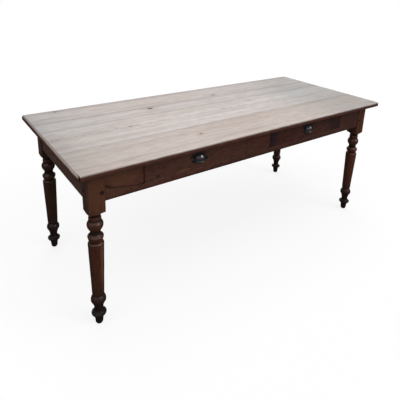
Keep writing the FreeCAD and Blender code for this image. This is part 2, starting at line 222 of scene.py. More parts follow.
def by_ray(tree, levels):
    """A value that differs for the camera, for shiny faces and for light alone."""
    path = add_node(tree, "ShaderNodeLightPath")
    value = ease(tree, path.outputs["Is Glossy Ray"], 0.0, 1.0, levels["light"], levels["mirror"])
    return ease(tree, path.outputs["Is Camera Ray"], 0.0, 1.0, value, levels["camera"])


world = bpy.data.worlds.new("studio")
world.use_nodes = True
scene.world = world
sky = world.node_tree.nodes["Background"]
sky.inputs["Color"].default_value = WHITE
outward = add_node(world.node_tree, "ShaderNodeTexCoord").outputs["Generated"]
rise = add_node(world.node_tree, "ShaderNodeSeparateXYZ", {"Vector": outward}).outputs["Z"]
mirrored = ease(world.node_tree, rise, 0.0, WALL_TOP_RISE, WALL_MIRROR, SKY["mirror"])
feed(world.node_tree, sky.inputs["Strength"], by_ray(world.node_tree, {**SKY, "mirror": mirrored}))

for sun_name, sun in SUNS.items():
    lamp = bpy.data.lights.new(sun_name, "SUN")
    lamp.energy = sun["level"] * math.pi
    lamp.angle = math.radians(sun["spread"])
    lamp_object = bpy.data.objects.new(sun_name, lamp)
    lamp_object.rotation_euler = Vector(sun["from"]).to_track_quat("Z", "Y").to_euler()
    scene.collection.objects.link(lamp_object)

print("world levels", SKY, "and", len(SUNS), "suns")

# %% [markdown]
# ## The floor
# The floor is one wide white face, and it is stage, not table. A plain white floor would catch
# shadows and throw light up at the aprons, so most of its white is a glow that the camera alone
# sees. Light and mirrors meet a dull grey floor.

# %% Floor
FLOOR_SHADE = {"camera": 0.24, "mirror": 0.07, "light": 0.22}
FLOOR_GLOW = {"camera": 0.78, "mirror": 0.0, "light": 0.0}
FLOOR_HALF = 12.0

floor_finish, floor_tree, floor_shader = new_finish("floor_white")
floor_shader.inputs["Specular IOR Level"].default_value = 0.0
floor_shader.inputs["Emission Color"].default_value = WHITE
feed(floor_tree, floor_shader.inputs["Base Color"], by_ray(floor_tree, FLOOR_SHADE))
feed(floor_tree, floor_shader.inputs["Emission Strength"], by_ray(floor_tree, FLOOR_GLOW))

floor_mesh = bpy.data.meshes.new("floor")
corners = [(-1, -1, 0), (1, -1, 0), (1, 1, 0), (-1, 1, 0)]
floor_mesh.from_pydata([Vector(c) * FLOOR_HALF for c in corners], [], [(0, 1, 2, 3)])
floor_mesh.materials.append(floor_finish)
floor = bpy.data.objects.new("floor", floor_mesh)
scene.collection.objects.link(floor)
print("white floor of", 2 * FLOOR_HALF, "m")

# %% [markdown]
# ## Pine
# Pine shows three things: late wood lines that follow the growth rings, broad streaks where
# the log was redder or paler, and fine fibres. The rings are circles round the pith of the
# log, bent by slow noise and drifting along the board, so a board cut near the pith shows
# pointed arches. A picture of wood would be easier, but it would stretch round every corner,
# while these rings run through the board like real ones.

# %% Pine figure
GRAIN_ORDER = {"X": (0, 1, 2), "Y": (1, 2, 0), "Z": (2, 0, 1)}
LOG_TAPER = 0.012


def grain_space(tree, run, shift):
    """Object coordinates with the grain on the first axis, shifted along the log."""
    place = add_node(tree, "ShaderNodeTexCoord").outputs["Object"]
    parts = add_node(tree, "ShaderNodeSeparateXYZ", {"Vector": place}).outputs
    turned = add_node(tree, "ShaderNodeCombineXYZ")
    for socket, axis in zip(turned.inputs, GRAIN_ORDER[run]):
        feed(tree, socket, parts[axis])
    moved = add_node(tree, "ShaderNodeMapping", {"Vector": turned.outputs[0]})
    moved.inputs["Location"].default_value = (shift, 0.0, 0.0)
    return moved.outputs[0]


def pine_figure(tree, space, ring, pith, swirl=0.0):
    """Late wood lines, broad streaks and fibres of a board, each from 0 to 1."""
    along, across, deep = add_node(tree, "ShaderNodeSeparateXYZ", {"Vector": space}).outputs
    slow = sums(tree, "MULTIPLY_ADD", cloud(tree, space, (0.9, 5.0, 5.0)), 0.060, across)
    bent = sums(tree, "MULTIPLY_ADD", cloud(tree, space, (3.0, 45.0, 45.0)), 0.014, slow)
    flat = sums(tree, "POWER", sums(tree, "SUBTRACT", bent, pith[0]), 2.0)
    depth = sums(tree, "POWER", sums(tree, "SUBTRACT", deep, pith[1]), 2.0)
    radius = sums(tree, "SQRT", sums(tree, "ADD", flat, depth))
    radius = sums(tree, "MULTIPLY_ADD", along, LOG_TAPER, radius)
    radius = sums(tree, "ADD", radius, swirl)
    turn = sums(tree, "FRACT", sums(tree, "DIVIDE", radius, ring))
    rise = ease(tree, turn, 0.30, 0.86)
    fall = ease(tree, turn, 0.88, 1.0, 1.0, 0.0)
    faint = ease(tree, cloud(tree, space, (1.8, 34.0, 34.0), 2.0), 0.36, 0.64, 0.15, 1.0)
    late = sums(tree, "MULTIPLY", sums(tree, "MULTIPLY", rise, fall), faint)
    streak = cloud(tree, space, (0.55, 24.0, 24.0), 3.0)
    fibre = cloud(tree, space, (9.0, 520.0, 520.0), 1.0)
    return late, streak, fibre


def wood_bump(tree, shader, late, fibre, strength):
    """Late wood stands a little proud of the softer wood, and fibres roughen both."""
    height = sums(tree, "MULTIPLY_ADD", fibre, 0.7, late)
    bump = add_node(tree, "ShaderNodeBump", {"Height": height, "Strength": strength})
    bump.inputs["Distance"].default_value = 0.0006
    feed(tree, shader.inputs["Normal"], bump.outputs["Normal"])


print("pine figure runs along", sorted(GRAIN_ORDER))

# %% [markdown]
# ## Stained pine for the base
# The base was stained dark brown and waxed. Stain sinks into the soft early wood and leaves
# the hard late wood lighter. Hands and shoes rub it through on the arrises, and wax and dust
# stay in the hollows. Each mesh below carries two painted values, wear and grime, so one tree
# serves every piece and the wear sits on the piece's own edges.

# %% Stain colour and marks
STAIN = {
    "early": (0.086, 0.0300, 0.0165, 1.0),
    "late": (0.140, 0.0540, 0.0260, 1.0),
    "worn": (0.260, 0.118, 0.058, 1.0),
    "grime": (0.0125, 0.0092, 0.0098, 1.0),
}
RED_CLOUD = (1.20, 0.82, 0.95)


def painted(tree, name):
    """A value from 0 to 1 that the mesh carries for each of its points."""
    return add_node(tree, "ShaderNodeAttribute", attribute_name=name).outputs["Fac"]


def scaled(colour, factor):
    """Colour made lighter or darker."""
    return tuple(c * factor for c in colour[:3]) + (1.0,)


def blend(first, second):
    """Two colours multiplied."""
    return tuple(a * b for a, b in zip(first[:3], second[:3])) + (1.0,)


def reach(tree, place, centre, stretch):
    """Distance from a point, with each axis stretched first."""
    apart = add_node(tree, "ShaderNodeVectorMath", operation="SUBTRACT")
    feed(tree, apart.inputs[0], place)
    apart.inputs[1].default_value = centre
    wide = add_node(tree, "ShaderNodeVectorMath", operation="MULTIPLY")
    feed(tree, wide.inputs[0], apart.outputs[0])
    wide.inputs[1].default_value = stretch
    length = add_node(tree, "ShaderNodeVectorMath", operation="LENGTH")
    feed(tree, length.inputs[0], wide.outputs[0])
    return length.outputs["Value"]


def stain_colour(tree, space, figure, fibre, tone):
    """Brown of the stain before any wear, with red and dark clouds and fine specks in it."""
    early, late = [blend(STAIN[wood], tone) for wood in ("early", "late")]
    red, dark, dim = blend(early, RED_CLOUD), scaled(early, 0.40), scaled(early, 0.45)
    colour = tint(tree, figure, early, late)
    colour = clouded(tree, colour, STAIN["worn"], space, (3.0, 9.0, 9.0), 4.0, (0.50, 0.74), 0.14)
    colour = clouded(tree, colour, red, space, (5.0, 18.0, 18.0), 3.0, (0.45, 0.70), 0.60)
    colour = clouded(tree, colour, dark, space, (1.6, 14.0, 14.0), 3.0, (0.50, 0.74), 0.60)
    colour = clouded(tree, colour, dim, space, (24.0, 80.0, 80.0), 3.0, (0.44, 0.68), 0.42)
    speck = cloud(tree, space, (55.0, 150.0, 150.0), 3.0)
    colour = tint(tree, ease(tree, speck, 0.52, 0.68, 0.0, 0.50), colour, dark)
    colour = tint(tree, ease(tree, speck, 0.34, 0.48, 0.35, 0.0), colour, late)
    return tint(tree, sums(tree, "MULTIPLY", fibre, 0.22), colour, scaled(early, 0.35))


def marked(tree, colour, rub, marks):
    """Colour with ragged spots: each has its centre, half widths in mm, a colour and a share."""
    place = add_node(tree, "ShaderNodeTexCoord").outputs["Object"]
    for centre, halves, mark_colour, share in marks:
        gap = reach(tree, place, [c * MM for c in centre], [1.0 / (h * MM) for h in halves])
        gap = sums(tree, "MULTIPLY_ADD", rub, 0.7, gap)
        colour = tint(tree, ease(tree, gap, 0.75, 1.55, share, 0.0), colour, mark_colour)
    return colour


print("stain in", len(STAIN), "tones")

# %% [markdown]
# ## The stained finish
# Here the parts come together: figure, stain, marks, then rubbed arrises and dirt on top, in
# the order in which they came to the real wood. Wax shines and dirt doesn't, so the dirt also
# lowers the gloss. Legs are darker towards the floor, partly from mop splashes and partly as
# painted shade, and the grime values carry painted shade in hollows and gaps as well.

# %% Stained pine finish
STAIN_RING = 7.5 * MM
FOOT_SHADE_AND_DIRT = (0.05, 0.29)
PLAIN = (1.0, 1.0, 1.0)


def stained_pine(name, run, shift, pith, tone=PLAIN, foot_shade_and_dirt=False, marks=()):
    """Dark stain with rubbed arrises; foot_shade_and_dirt darkens a leg towards its foot, with dirt
    and painted shade.
    """
    finish, tree, shader = new_finish(name)
    space = grain_space(tree, run, shift)
    late, streak, fibre = pine_figure(tree, space, STAIN_RING, pith)
    figure = sums(tree, "MULTIPLY", late, ease(tree, streak, 0.30, 0.75, 0.10, 0.55))
    rub = cloud(tree, space, (12.0, 60.0, 60.0), 3.0)
    colour = stain_colour(tree, space, figure, fibre, tone)
    colour = marked(tree, colour, rub, marks)
    rubbed = sums(tree, "MULTIPLY_ADD", rub, 0.9, painted(tree, "wear"))
    colour = tint(tree, ease(tree, rubbed, 1.12, 1.70, 0.0, 0.42), colour, STAIN["worn"])
    # Painted shade: dirt_and_shade holds the dirt and painted shade of the grime values, and on legs a
    # painted shade that grows towards the floor.
    dirt_and_shade = sums(tree, "MULTIPLY", painted(tree, "grime"), 0.85)
    if foot_shade_and_dirt:
        place = add_node(tree, "ShaderNodeTexCoord").outputs["Object"]
        height = add_node(tree, "ShaderNodeSeparateXYZ", {"Vector": place}).outputs["Z"]
        dirt_and_shade = sums(tree, "MAXIMUM", dirt_and_shade, ease(tree, height, *FOOT_SHADE_AND_DIRT, 0.92, 0.0))
    colour = tint(tree, dirt_and_shade, colour, STAIN["grime"])
    feed(tree, shader.inputs["Base Color"], colour)
    feed(tree, shader.inputs["Roughness"], sums(tree, "MULTIPLY_ADD", streak, 0.24, 0.24))
    feed(tree, shader.inputs["Specular IOR Level"], ease(tree, dirt_and_shade, 0.0, 1.0, 0.40, 0.12))
    wood_bump(tree, shader, late, fibre, 0.16)
    return finish


print("stained pine with rings of", STAIN_RING / MM, "mm")

# %% [markdown]
# ## One stain, many boards
# No two boards took the stain alike. Each finish gets its own place in the log, a tone that
# multiplies the stain, and a few marks: a cheek rubbed to orange, a rail that stayed deep
# brown, dirt round a peg. Some marks are painted light instead: painted shade on the right
# cheek, on the left side of the front left leg and over the whole back left leg, and a painted
# highlight as a narrow bright stripe down the front left leg. A mark is only a soft, ragged
# spot with a place and a size, so a painted picture isn't needed.

# %% Stain for aprons and legs
FRONT_TONE = (1.07, 1.09, 1.22)
# END_STAIN_SHEEN_TONE lifts the end aprons to a paler, greyer brown: a painted sheen, the reflection
# of a bright surround on their waxed faces.
END_STAIN_SHEEN_TONE = (1.22, 1.50, 1.80)
LEG_TONE = {"left": (0.78, 0.735, 0.57), "right": (1.08, 0.97, 0.70)}
# RUBBED_ORANGE_AND_HIGHLIGHT serves worn patches and one painted highlight; DEEP_BROWN_AND_SHADE
# serves a dark rail and painted shade.
RUBBED_ORANGE_AND_HIGHLIGHT = (0.150, 0.062, 0.030, 1.0)
DEEP_BROWN_AND_SHADE = (0.040, 0.0145, 0.0095, 1.0)
PEG_DIRT = (0.013, 0.0085, 0.007, 1.0)
THROUGH = 1e6
# FRONT_MARKS: the dark mark on the right cheek is painted shade; the orange cheek and the deep brown
# rail are the wood's own colour.
FRONT_MARKS = [((-770, 0, 700), (80, THROUGH, 75), RUBBED_ORANGE_AND_HIGHLIGHT, 0.40),
               ((765, 0, 680), (110, THROUGH, 130), DEEP_BROWN_AND_SHADE, 0.60),
               ((390, 0, 618), (330, THROUGH, 24), DEEP_BROWN_AND_SHADE, 0.55)]
# LEG_MARKS: the dark spot on the left side of the front left leg and the one over the whole back left
# leg are painted shade; the narrow bright stripe down the front left leg is a painted highlight. The
# rest are wear and dirt.
LEG_MARKS = {"left": [((-883, -361, 650), (60, 30, 130), RUBBED_ORANGE_AND_HIGHLIGHT, 0.42),
                      ((-870, -354, 330), (10, 15, 170), RUBBED_ORANGE_AND_HIGHLIGHT, 0.55),
                      ((-914, -328, 300), (13, 24, 190), DEEP_BROWN_AND_SHADE, 0.65),
                      ((-862, -361, 650), (11, 9, 11), PEG_DIRT, 0.70),
                      ((-883, 326, 300), (70, 70, 420), scaled(DEEP_BROWN_AND_SHADE, 0.5), 0.55)],
             "right": [((908, -361, 650), (15, 40, 110), RUBBED_ORANGE_AND_HIGHLIGHT, 0.45)]}
stain_front = stained_pine("stained_pine_front", "X", 0.31, (-0.285, 0.655), FRONT_TONE,
                           marks=FRONT_MARKS)
stain_back = stained_pine("stained_pine_back", "X", 2.61, (0.280, 0.700))
stain_left = stained_pine("stained_pine_left", "Y", 1.70, (0.650, -0.845), END_STAIN_SHEEN_TONE)
stain_right = stained_pine("stained_pine_right", "Y", 3.90, (0.690, 0.840), END_STAIN_SHEEN_TONE)
stain_leg = {}
for leg_side, leg_shift in (("left", 2.30), ("right", 5.85)):
    stain_leg[leg_side] = stained_pine("stained_pine_leg_" + leg_side, "Z", leg_shift, (0.05, 0.30),
                                       LEG_TONE[leg_side], True, LEG_MARKS[leg_side])
print("stained pine for four aprons and", len(stain_leg), "pairs of legs")

# %% [markdown]
# ## Bare pine and pegs
# Inside, the wood was never finished: it only went brown with age, and dust lies on it in
# patches. The pegs are end grain, so they drank the stain and are darker than the legs.

# %% Bare pine and peg wood
BARE = {"early": (0.50, 0.335, 0.19, 1.0), "late": (0.335, 0.185, 0.085, 1.0)}
BARE_DUST = (0.19, 0.135, 0.095, 1.0)
BARE_RING = 5.8 * MM
PEG = {"dark": (0.009, 0.0045, 0.0038, 1.0), "pale": (0.030, 0.0130, 0.0090, 1.0),
       "pore": (0.012, 0.008, 0.006, 1.0)}


def bare_pine(name, run, shift, pith, tone=1.0):
    """Unfinished pine, browned by age and dusty in places."""
    finish, tree, shader = new_finish(name)
    space = grain_space(tree, run, shift)
    late, streak, fibre = pine_figure(tree, space, BARE_RING, pith)
    figure = sums(tree, "MULTIPLY", late, ease(tree, streak, 0.2, 0.8, 0.35, 0.95))
    colour = tint(tree, figure, scaled(BARE["early"], tone), scaled(BARE["late"], tone))
    dust = ease(tree, cloud(tree, space, (2.2, 8.0, 8.0), 4.0), 0.42, 0.75, 0.10, 0.62)
    colour = tint(tree, dust, colour, scaled(BARE_DUST, tone))
    colour = tint(tree, sums(tree, "MULTIPLY", fibre, 0.25), colour, scaled(BARE["late"], 0.6))
    feed(tree, shader.inputs["Base Color"], colour)
    shader.inputs["Roughness"].default_value = 0.78
    shader.inputs["Specular IOR Level"].default_value = 0.3
    wood_bump(tree, shader, late, fibre, 0.4)
    return finish


def peg_wood():
    """Dark end grain with paler blotches."""
    finish, tree, shader = new_finish("peg_wood")
    place = add_node(tree, "ShaderNodeTexCoord").outputs["Object"]
    grain = cloud(tree, place, (420.0, 420.0, 420.0), 2.0)
    blotch = ease(tree, cloud(tree, place, (110.0, 110.0, 110.0), 2.0), 0.35, 0.7)
    colour = tint(tree, blotch, PEG["dark"], PEG["pale"])
    colour = tint(tree, sums(tree, "MULTIPLY", grain, 0.5), colour, PEG["pore"])
    feed(tree, shader.inputs["Base Color"], colour)
    shader.inputs["Roughness"].default_value = 0.60
    shader.inputs["Specular IOR Level"].default_value = 0.20
    bump = add_node(tree, "ShaderNodeBump", {"Height": grain, "Strength": 0.4})
    bump.inputs["Distance"].default_value = 0.0005
    feed(tree, shader.inputs["Normal"], bump.outputs["Normal"])
    return finish


bare_long = bare_pine("bare_pine_long", "X", 0.5, (-0.05, 0.55))
bare_deep = bare_pine("bare_pine_deep", "Y", 0.4, (0.62, 0.30), 0.9)
peg_finish = peg_wood()
print("inside finishes:", bare_long.name, bare_deep.name, peg_finish.name)

# %% [markdown]
# ## Old metal
# The pulls are cast, with dark skin in the hollows and bright metal where fingers reach, and
# the screws are plain steel gone brown. Both are the same tree: a skin over a metal, which is
# gone where the mesh says that it is worn, with noise to make the border blotchy. On the pulls
# the same values also hold painted highlights.

# %% Cast metal and screw steel
METAL = {"black": (0.040, 0.037, 0.038, 1.0), "bright": (0.31, 0.30, 0.30, 1.0),
         "rust": (0.050, 0.038, 0.030, 1.0), "steel": (0.22, 0.20, 0.18, 1.0)}


def old_metal(name, skin, bright, skin_share, roughness):
    """Metal under a dark skin, which has gone where the mesh says it is worn."""
    finish, tree, shader = new_finish(name)
    place = add_node(tree, "ShaderNodeTexCoord").outputs["Object"]
    blotch = cloud(tree, place, (170.0, 170.0, 170.0), 4.0)
    pits = cloud(tree, place, (900.0, 900.0, 900.0), 2.0)
    uneven = sums(tree, "SUBTRACT", blotch, 0.5)
    # On the pulls the wear values also hold painted highlights.
    worn = sums(tree, "MULTIPLY_ADD", uneven, 0.55, painted(tree, "wear"))
    cover = ease(tree, worn, 0.10, 0.85 + skin_share, 1.0, 0.0)
    feed(tree, shader.inputs["Base Color"], tint(tree, cover, bright, skin))
    shader.inputs["Metallic"].default_value = 1.0
    rough = ease(tree, cover, 0.0, 1.0, roughness, roughness + 0.22)
    feed(tree, shader.inputs["Roughness"], rough)
    bump = add_node(tree, "ShaderNodeBump", {"Height": pits, "Strength": 0.25})
    bump.inputs["Distance"].default_value = 0.0003
    feed(tree, shader.inputs["Normal"], bump.outputs["Normal"])
    return finish


pull_metal = old_metal("pull_metal", METAL["black"], METAL["bright"], 0.0, 0.34)
screw_steel = old_metal("screw_steel", METAL["rust"], METAL["steel"], 0.4, 0.42)
print("metal finishes:", pull_metal.name, screw_steel.name)

# %% [markdown]
# ## A first coat
# Every CAD node gets its finish now, by the slot that the record gives it. The pieces that are
# modelled more finely below hide their node later, and the rest keep this coat.

# %% Finish every node
SLOT_FINISH = {"stained_pine": stain_front, "scrubbed_pine": bare_long, "bare_pine": bare_deep,
               "peg_wood": peg_finish, "cast_metal": pull_metal, "screw_steel": screw_steel}
slot_of = {part["node"]: part["material_slot"] for part in frame["record"]["subparts"]}
for node_name, node in nodes.items():
    node.data.materials.clear()
    node.data.materials.append(SLOT_FINISH[slot_of[node_name]])
print("first coat on", len(slot_of), "nodes")

# %% [markdown]
# ## Pieces from meshes
# Each finished piece is one object at the origin with its place in its mesh. It rides on the
# body of the CAD node that it stands for, and that node is hidden. Wear and grime, with some
# painted shade and highlights among them, are worked out once for each mesh and stored as
# point attributes, where the finishes find them.

# %% Make a piece
SHARP_ANGLE = math.radians(38.0)


def finish_mesh(mesh, finish, **layers):
    """Smooth a mesh up to its sharp edges, and paint its finish and its values for each point."""
    mesh.materials.clear()
    mesh.materials.append(finish)
    mesh.polygons.foreach_set("use_smooth", [True] * len(mesh.polygons))
    mesh.set_sharp_from_angle(angle=SHARP_ANGLE)
    for name, values in layers.items():
        layer = mesh.attributes.new(name, "FLOAT", "POINT")
        layer.data.foreach_set("value", np.clip(values, 0.0, 1.0).astype(np.float32))
    mesh.update()


def place_piece(mesh, name, replaced):
    """Object for a finished mesh, riding on the body of the first node that it replaces."""
    piece = bpy.data.objects.new(name, mesh)
    scene.collection.objects.link(piece)
    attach(piece, nodes[replaced[0]]["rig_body"])
    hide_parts(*replaced)
    return piece


def points_of(mesh):
    """All points of a mesh as rows of x, y and z."""
    flat = np.zeros(len(mesh.vertices) * 3, np.float32)
    mesh.vertices.foreach_get("co", flat)
    return flat.reshape(-1, 3).astype(float)


print("pieces are shaded smooth below", round(math.degrees(SHARP_ANGLE)), "degrees")

# %% [markdown]
# ## Tools for old wood
# Three tools serve many pieces. Smooth noise at given points moves them in and out. A Boolean
# takes one mesh out of another, through two objects that are thrown away at once. And some CAD
# nodes hold many solids, such as all pegs, so their boxes are found by walking along edges
# from point to point until an island is complete.

# %% Noise, cuts and islands
WELD = 2e-6


def rumple(points, size, seed):
    """Smooth noise from -1 to 1 at each point, with lumps of about the given size."""
    shift = Vector((seed * 7.13, seed * 3.71, seed * 5.37))
    return np.array([noise.noise(Vector(p) / size + shift) for p in points])


def without(bm, cutter):
    """Cut another mesh out of this one."""
    blank = bpy.data.meshes.new("blank")
    bm.to_mesh(blank)
    bm.free()
    holder = bpy.data.objects.new("blank", blank)
    tool = bpy.data.objects.new("tool", cutter)
    for thing in (holder, tool):
        scene.collection.objects.link(thing)
    cut = holder.modifiers.new("cut", "BOOLEAN")
    cut.operation = "DIFFERENCE"
    cut.solver = "EXACT"
    cut.object = tool
    evaluated = holder.evaluated_get(bpy.context.evaluated_depsgraph_get())
    bm = bmesh.new()
    bm.from_mesh(evaluated.data)
    for thing, mesh in ((holder, blank), (tool, cutter)):
        bpy.data.objects.remove(thing)
        bpy.data.meshes.remove(mesh)
    return bm


def loose_parts(node_name):
    """Low and high corner of each separate solid of a CAD node."""
    bm = bmesh.new()
    bm.from_mesh(nodes[node_name].data)
    bmesh.ops.remove_doubles(bm, verts=bm.verts[:], dist=WELD)
    left = set(bm.verts)
    boxes = []
    while left:
        island = [left.pop()]
        for vert in island:
            for edge in vert.link_edges:
                other = edge.other_vert(vert)
                if other in left:
                    left.remove(other)
                    island.append(other)
        places = np.array([vert.co for vert in island])
        boxes.append((Vector(places.min(axis=0)), Vector(places.max(axis=0))))
    bm.free()
    return boxes


print("joint_pegs holds", len(loose_parts("joint_pegs")), "solids")

# %% [markdown]
# ## Geometry Nodes
# Shapes that follow a rule and things that repeat are made by node trees: legs, planks, screws
# and pegs. A tree starts from a mesh of bare points that carry values of their own, and it has
# named inputs for sizes, so that one tree makes all four legs. A modifier runs it. What comes
# out is kept as a plain mesh, and the points and the modifier are removed.

# %% Build and run a tree
def geometry_tree(name, numbers):
    """Empty tree with number inputs and a material input; returns it, its input and its output."""
    tree = bpy.data.node_groups.new(name, "GeometryNodeTree")
    tree.interface.new_socket("Geometry", in_out="INPUT", socket_type="NodeSocketGeometry")
    for label, value in numbers.items():
        socket = tree.interface.new_socket(label, in_out="INPUT", socket_type="NodeSocketFloat")
        socket.default_value = value
    tree.interface.new_socket("Material", in_out="INPUT", socket_type="NodeSocketMaterial")
    tree.interface.new_socket("Geometry", in_out="OUTPUT", socket_type="NodeSocketGeometry")
    return tree, add_node(tree, "NodeGroupInput").outputs, add_node(tree, "NodeGroupOutput")


def triple(tree, x, y, z):
    """Vector from three numbers."""
    return add_node(tree, "ShaderNodeCombineXYZ", {"X": x, "Y": y, "Z": z}).outputs[0]


def carried(tree, name, kind="FLOAT"):
    """A value that the points carry."""
    made = add_node(tree, "GeometryNodeInputNamedAttribute", data_type=kind)
    made.inputs["Name"].default_value = name
    return made.outputs["Attribute"]


def coated(tree, given, result, piece):
    """End of a tree: instances become real, and everything gets its material."""
    real = add_node(tree, "GeometryNodeRealizeInstances", {"Geometry": piece})
    coat = add_node(tree, "GeometryNodeSetMaterial", {
        "Geometry": real.outputs[0], "Material": given["Material"]})
    feed(tree, result.inputs["Geometry"], coat.outputs[0])


def bake(tree, name, places, values, edges=(), **layers):
    """Run a tree on points that carry values, and keep the mesh that comes out."""
    mesh = bpy.data.meshes.new(name + "_points")
    mesh.from_pydata(places, edges, [])
    for label, numbers in layers.items():
        numbers = np.array(numbers, np.float32)
        kind, field = ("FLOAT_VECTOR", "vector") if numbers.ndim == 2 else ("FLOAT", "value")
        mesh.attributes.new(label, kind, "POINT").data.foreach_set(field, numbers.ravel())
    holder = bpy.data.objects.new(name + "_points", mesh)
    scene.collection.objects.link(holder)
    modifier = holder.modifiers.new("nodes", "NODES")
    modifier.node_group = tree
    for item in tree.interface.items_tree:
        if item.name in values:
            modifier[item.identifier] = values[item.name]
    graph = bpy.context.evaluated_depsgraph_get()
    made = bpy.data.meshes.new_from_object(holder.evaluated_get(graph), depsgraph=graph)
    made.name = name
    bpy.data.objects.remove(holder)
    bpy.data.meshes.remove(mesh)
    return made


print("node trees become plain meshes")

# %% [markdown]
# ## Sweeps
# A turned leg and a plank have the same plan: a ring of points, repeated along a spine. Both
# lines come to the tree in one mesh. Curve to Mesh joins them to a skin with closed ends, and
# each point of the skin keeps the values of its spine point and of its ring point. A rule then
# says where it goes, so the two lines themselves need no shape at all.

# %% Sweep a ring along a spine
def swept(tree, given, ring_value):
    """Skin of the ring along the spine; the spine lets go of the value that the ring carries."""
    lines = add_node(tree, "GeometryNodeSeparateGeometry", {
        "Geometry": given["Geometry"], "Selection": carried(tree, "ring")}, domain="POINT")
    ring = add_node(tree, "GeometryNodeMeshToCurve", {"Mesh": lines.outputs["Selection"]})
    bare = add_node(tree, "GeometryNodeRemoveAttribute", {
        "Geometry": lines.outputs["Inverted"], "Name": ring_value})
    spine = add_node(tree, "GeometryNodeMeshToCurve", {"Mesh": bare.outputs[0]})
    skin = add_node(tree, "GeometryNodeCurveToMesh", {
        "Curve": spine.outputs[0], "Profile Curve": ring.outputs[0], "Fill Caps": True})
    return skin.outputs[0]


def set_out(tree, skin, across):
    """Move each point of a skin to the centre of its ring, and from there across."""
    place = add_node(tree, "ShaderNodeVectorMath", operation="ADD")
    feed(tree, place.inputs[0], carried(tree, "centre", "FLOAT_VECTOR"))
    feed(tree, place.inputs[1], across)
    moved = add_node(tree, "GeometryNodeSetPosition", {
        "Geometry": skin, "Position": place.outputs[0]})
    return moved.outputs[0]


def sweep(tree, name, spine, ring, values):
    """Run a sweeping tree; spine and ring give the values of their points, row by row."""
    rings, sides = [len(next(iter(line.values()))) for line in (spine, ring)]
    turns = np.arange(sides) * 2 * math.pi / sides
    places = [(0.0, 0.0, float(step)) for step in range(rings)]
    places += [(math.cos(turn), math.sin(turn), 0.0) for turn in turns]
    edges = [(step, step + 1) for step in range(rings - 1)]
    edges += [(rings + side, rings + (side + 1) % sides) for side in range(sides)]
    layers = {"ring": np.repeat([0.0, 1.0], [rings, sides])}
    for label, rows in spine.items():
        layers[label] = np.concatenate([rows, np.zeros((sides,) + rows.shape[1:])])
    for label, rows in ring.items():
        layers[label] = np.concatenate([np.zeros((rings,) + rows.shape[1:]), rows])
    return bake(tree, name, places, values, edges, **layers)


def read_value(mesh, name):
    """Read a number that the points of a mesh carry."""
    numbers = np.zeros(len(mesh.vertices), np.float32)
    mesh.attributes[name].data.foreach_get("value", numbers)
    return numbers.astype(float)


def drop_values(mesh, *names):
    """Remove what the points of a mesh carried for its tree."""
    for name in names:
        mesh.attributes.remove(mesh.attributes[name])


print("sweeps ready for legs and planks")

# %% [markdown]
# ## Turned legs
# A leg is one square stick: its top stays square for the joints, and the rest is turned. The
# outline is read back from the CAD leg, so the rings and hollows are exactly where they were
# drawn. The heights are then spread evenly along the outline, so that a tight bead gets as
# many rings as it needs.

# %% Read the outline of a leg
LEG_STEP = 2.2 * MM
CORNER_SHARE = 0.985
SAME_HEIGHT = 1e-5


def leg_outline(node_name):
    """Axis, lower end of the block, and even (height, radius) points of the turning."""
    low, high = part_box(node_name)
    axis = (low + high) / 2
    points = points_of(nodes[node_name].data)
    radius = np.hypot(points[:, 0] - axis.x, points[:, 1] - axis.y)
    block_end = points[radius > radius.max() * CORNER_SHARE][:, 2].min()
    turned = points[:, 2] < block_end - SAME_HEIGHT
    heights, index = np.unique(points[turned][:, 2].round(5), return_inverse=True)
    radii = np.zeros(len(heights))
    np.maximum.at(radii, index, radius[turned])
    length = np.concatenate([[0.0], np.cumsum(np.hypot(np.diff(heights), np.diff(radii)))])
    even = np.linspace(0.0, length[-1], round(length[-1] / LEG_STEP))
    return axis, block_end, np.interp(even, length, heights), np.interp(even, length, radii)


leg_axis, leg_block_end, leg_heights, leg_radii = leg_outline("leg_front_left")
print("turning has", len(leg_heights), "rings up to", round(leg_block_end / MM), "mm")
print("axis at x =", round(leg_axis.x / MM), "mm, thickest ring", round(2 * max(leg_radii) / MM), "mm")

# %% [markdown]
# ## Peg holes
# Each joint is held by a hand cut peg. The hole is a little wider than the peg, and the gap has
# filled with dirt, so the holes are cut before the pegs are made. The cutters carry a grime
# value of their own, and the Boolean hands it on to the walls that they leave behind.

# %% Peg holes
PEG_GAP = 1.0 * MM
PEG_SIDE_SHARE = 0.90
PEG_HOLE_DEPTH = 7.0 * MM
PEG_SEARCH = 5.0 * MM


def peg_axis(low, high):
    """Unit vector along a peg, out of the table."""
    size = high - low
    middle = (low + high) / 2
    if size.x > size.y:
        return Vector((math.copysign(1.0, middle.x), 0.0, 0.0))
    return Vector((0.0, math.copysign(1.0, middle.y), 0.0))


def peg_head(low, high):
    """Middle of the end of a peg that shows."""
    size = high - low
    axis = peg_axis(low, high)
    return (low + high) / 2 + axis * max(size.x, size.y) / 2


def peg_holes(leg_low, leg_high):
    """Cutters for the pegs in one leg, each standing on its corner like its peg."""
    bm = bmesh.new()
    grime = bm.verts.layers.float.new("grime")
    for low, high in loose_parts("joint_pegs"):
        head = peg_head(low, high)
        inside = all(a - PEG_SEARCH < c < b + PEG_SEARCH for a, c, b in zip(leg_low, head, leg_high))
        if inside:
            side = (high.z - low.z) * PEG_SIDE_SHARE + 2 * PEG_GAP
            turn = Matrix.Rotation(math.radians(45.0), 4, "Z")
            stand = peg_axis(low, high).to_track_quat("Z", "Y").to_matrix().to_4x4()
            stretch = Matrix.Diagonal((side, side, 2 * PEG_HOLE_DEPTH, 1.0))
            place = Matrix.Translation(head) @ stand @ turn @ stretch
            made = bmesh.ops.create_cube(bm, size=1.0, matrix=place)
            for vert in made["verts"]:
                vert[grime] = 1.0
    mesh = bpy.data.meshes.new("peg_holes")
    bm.to_mesh(mesh)
    bm.free()
    return mesh


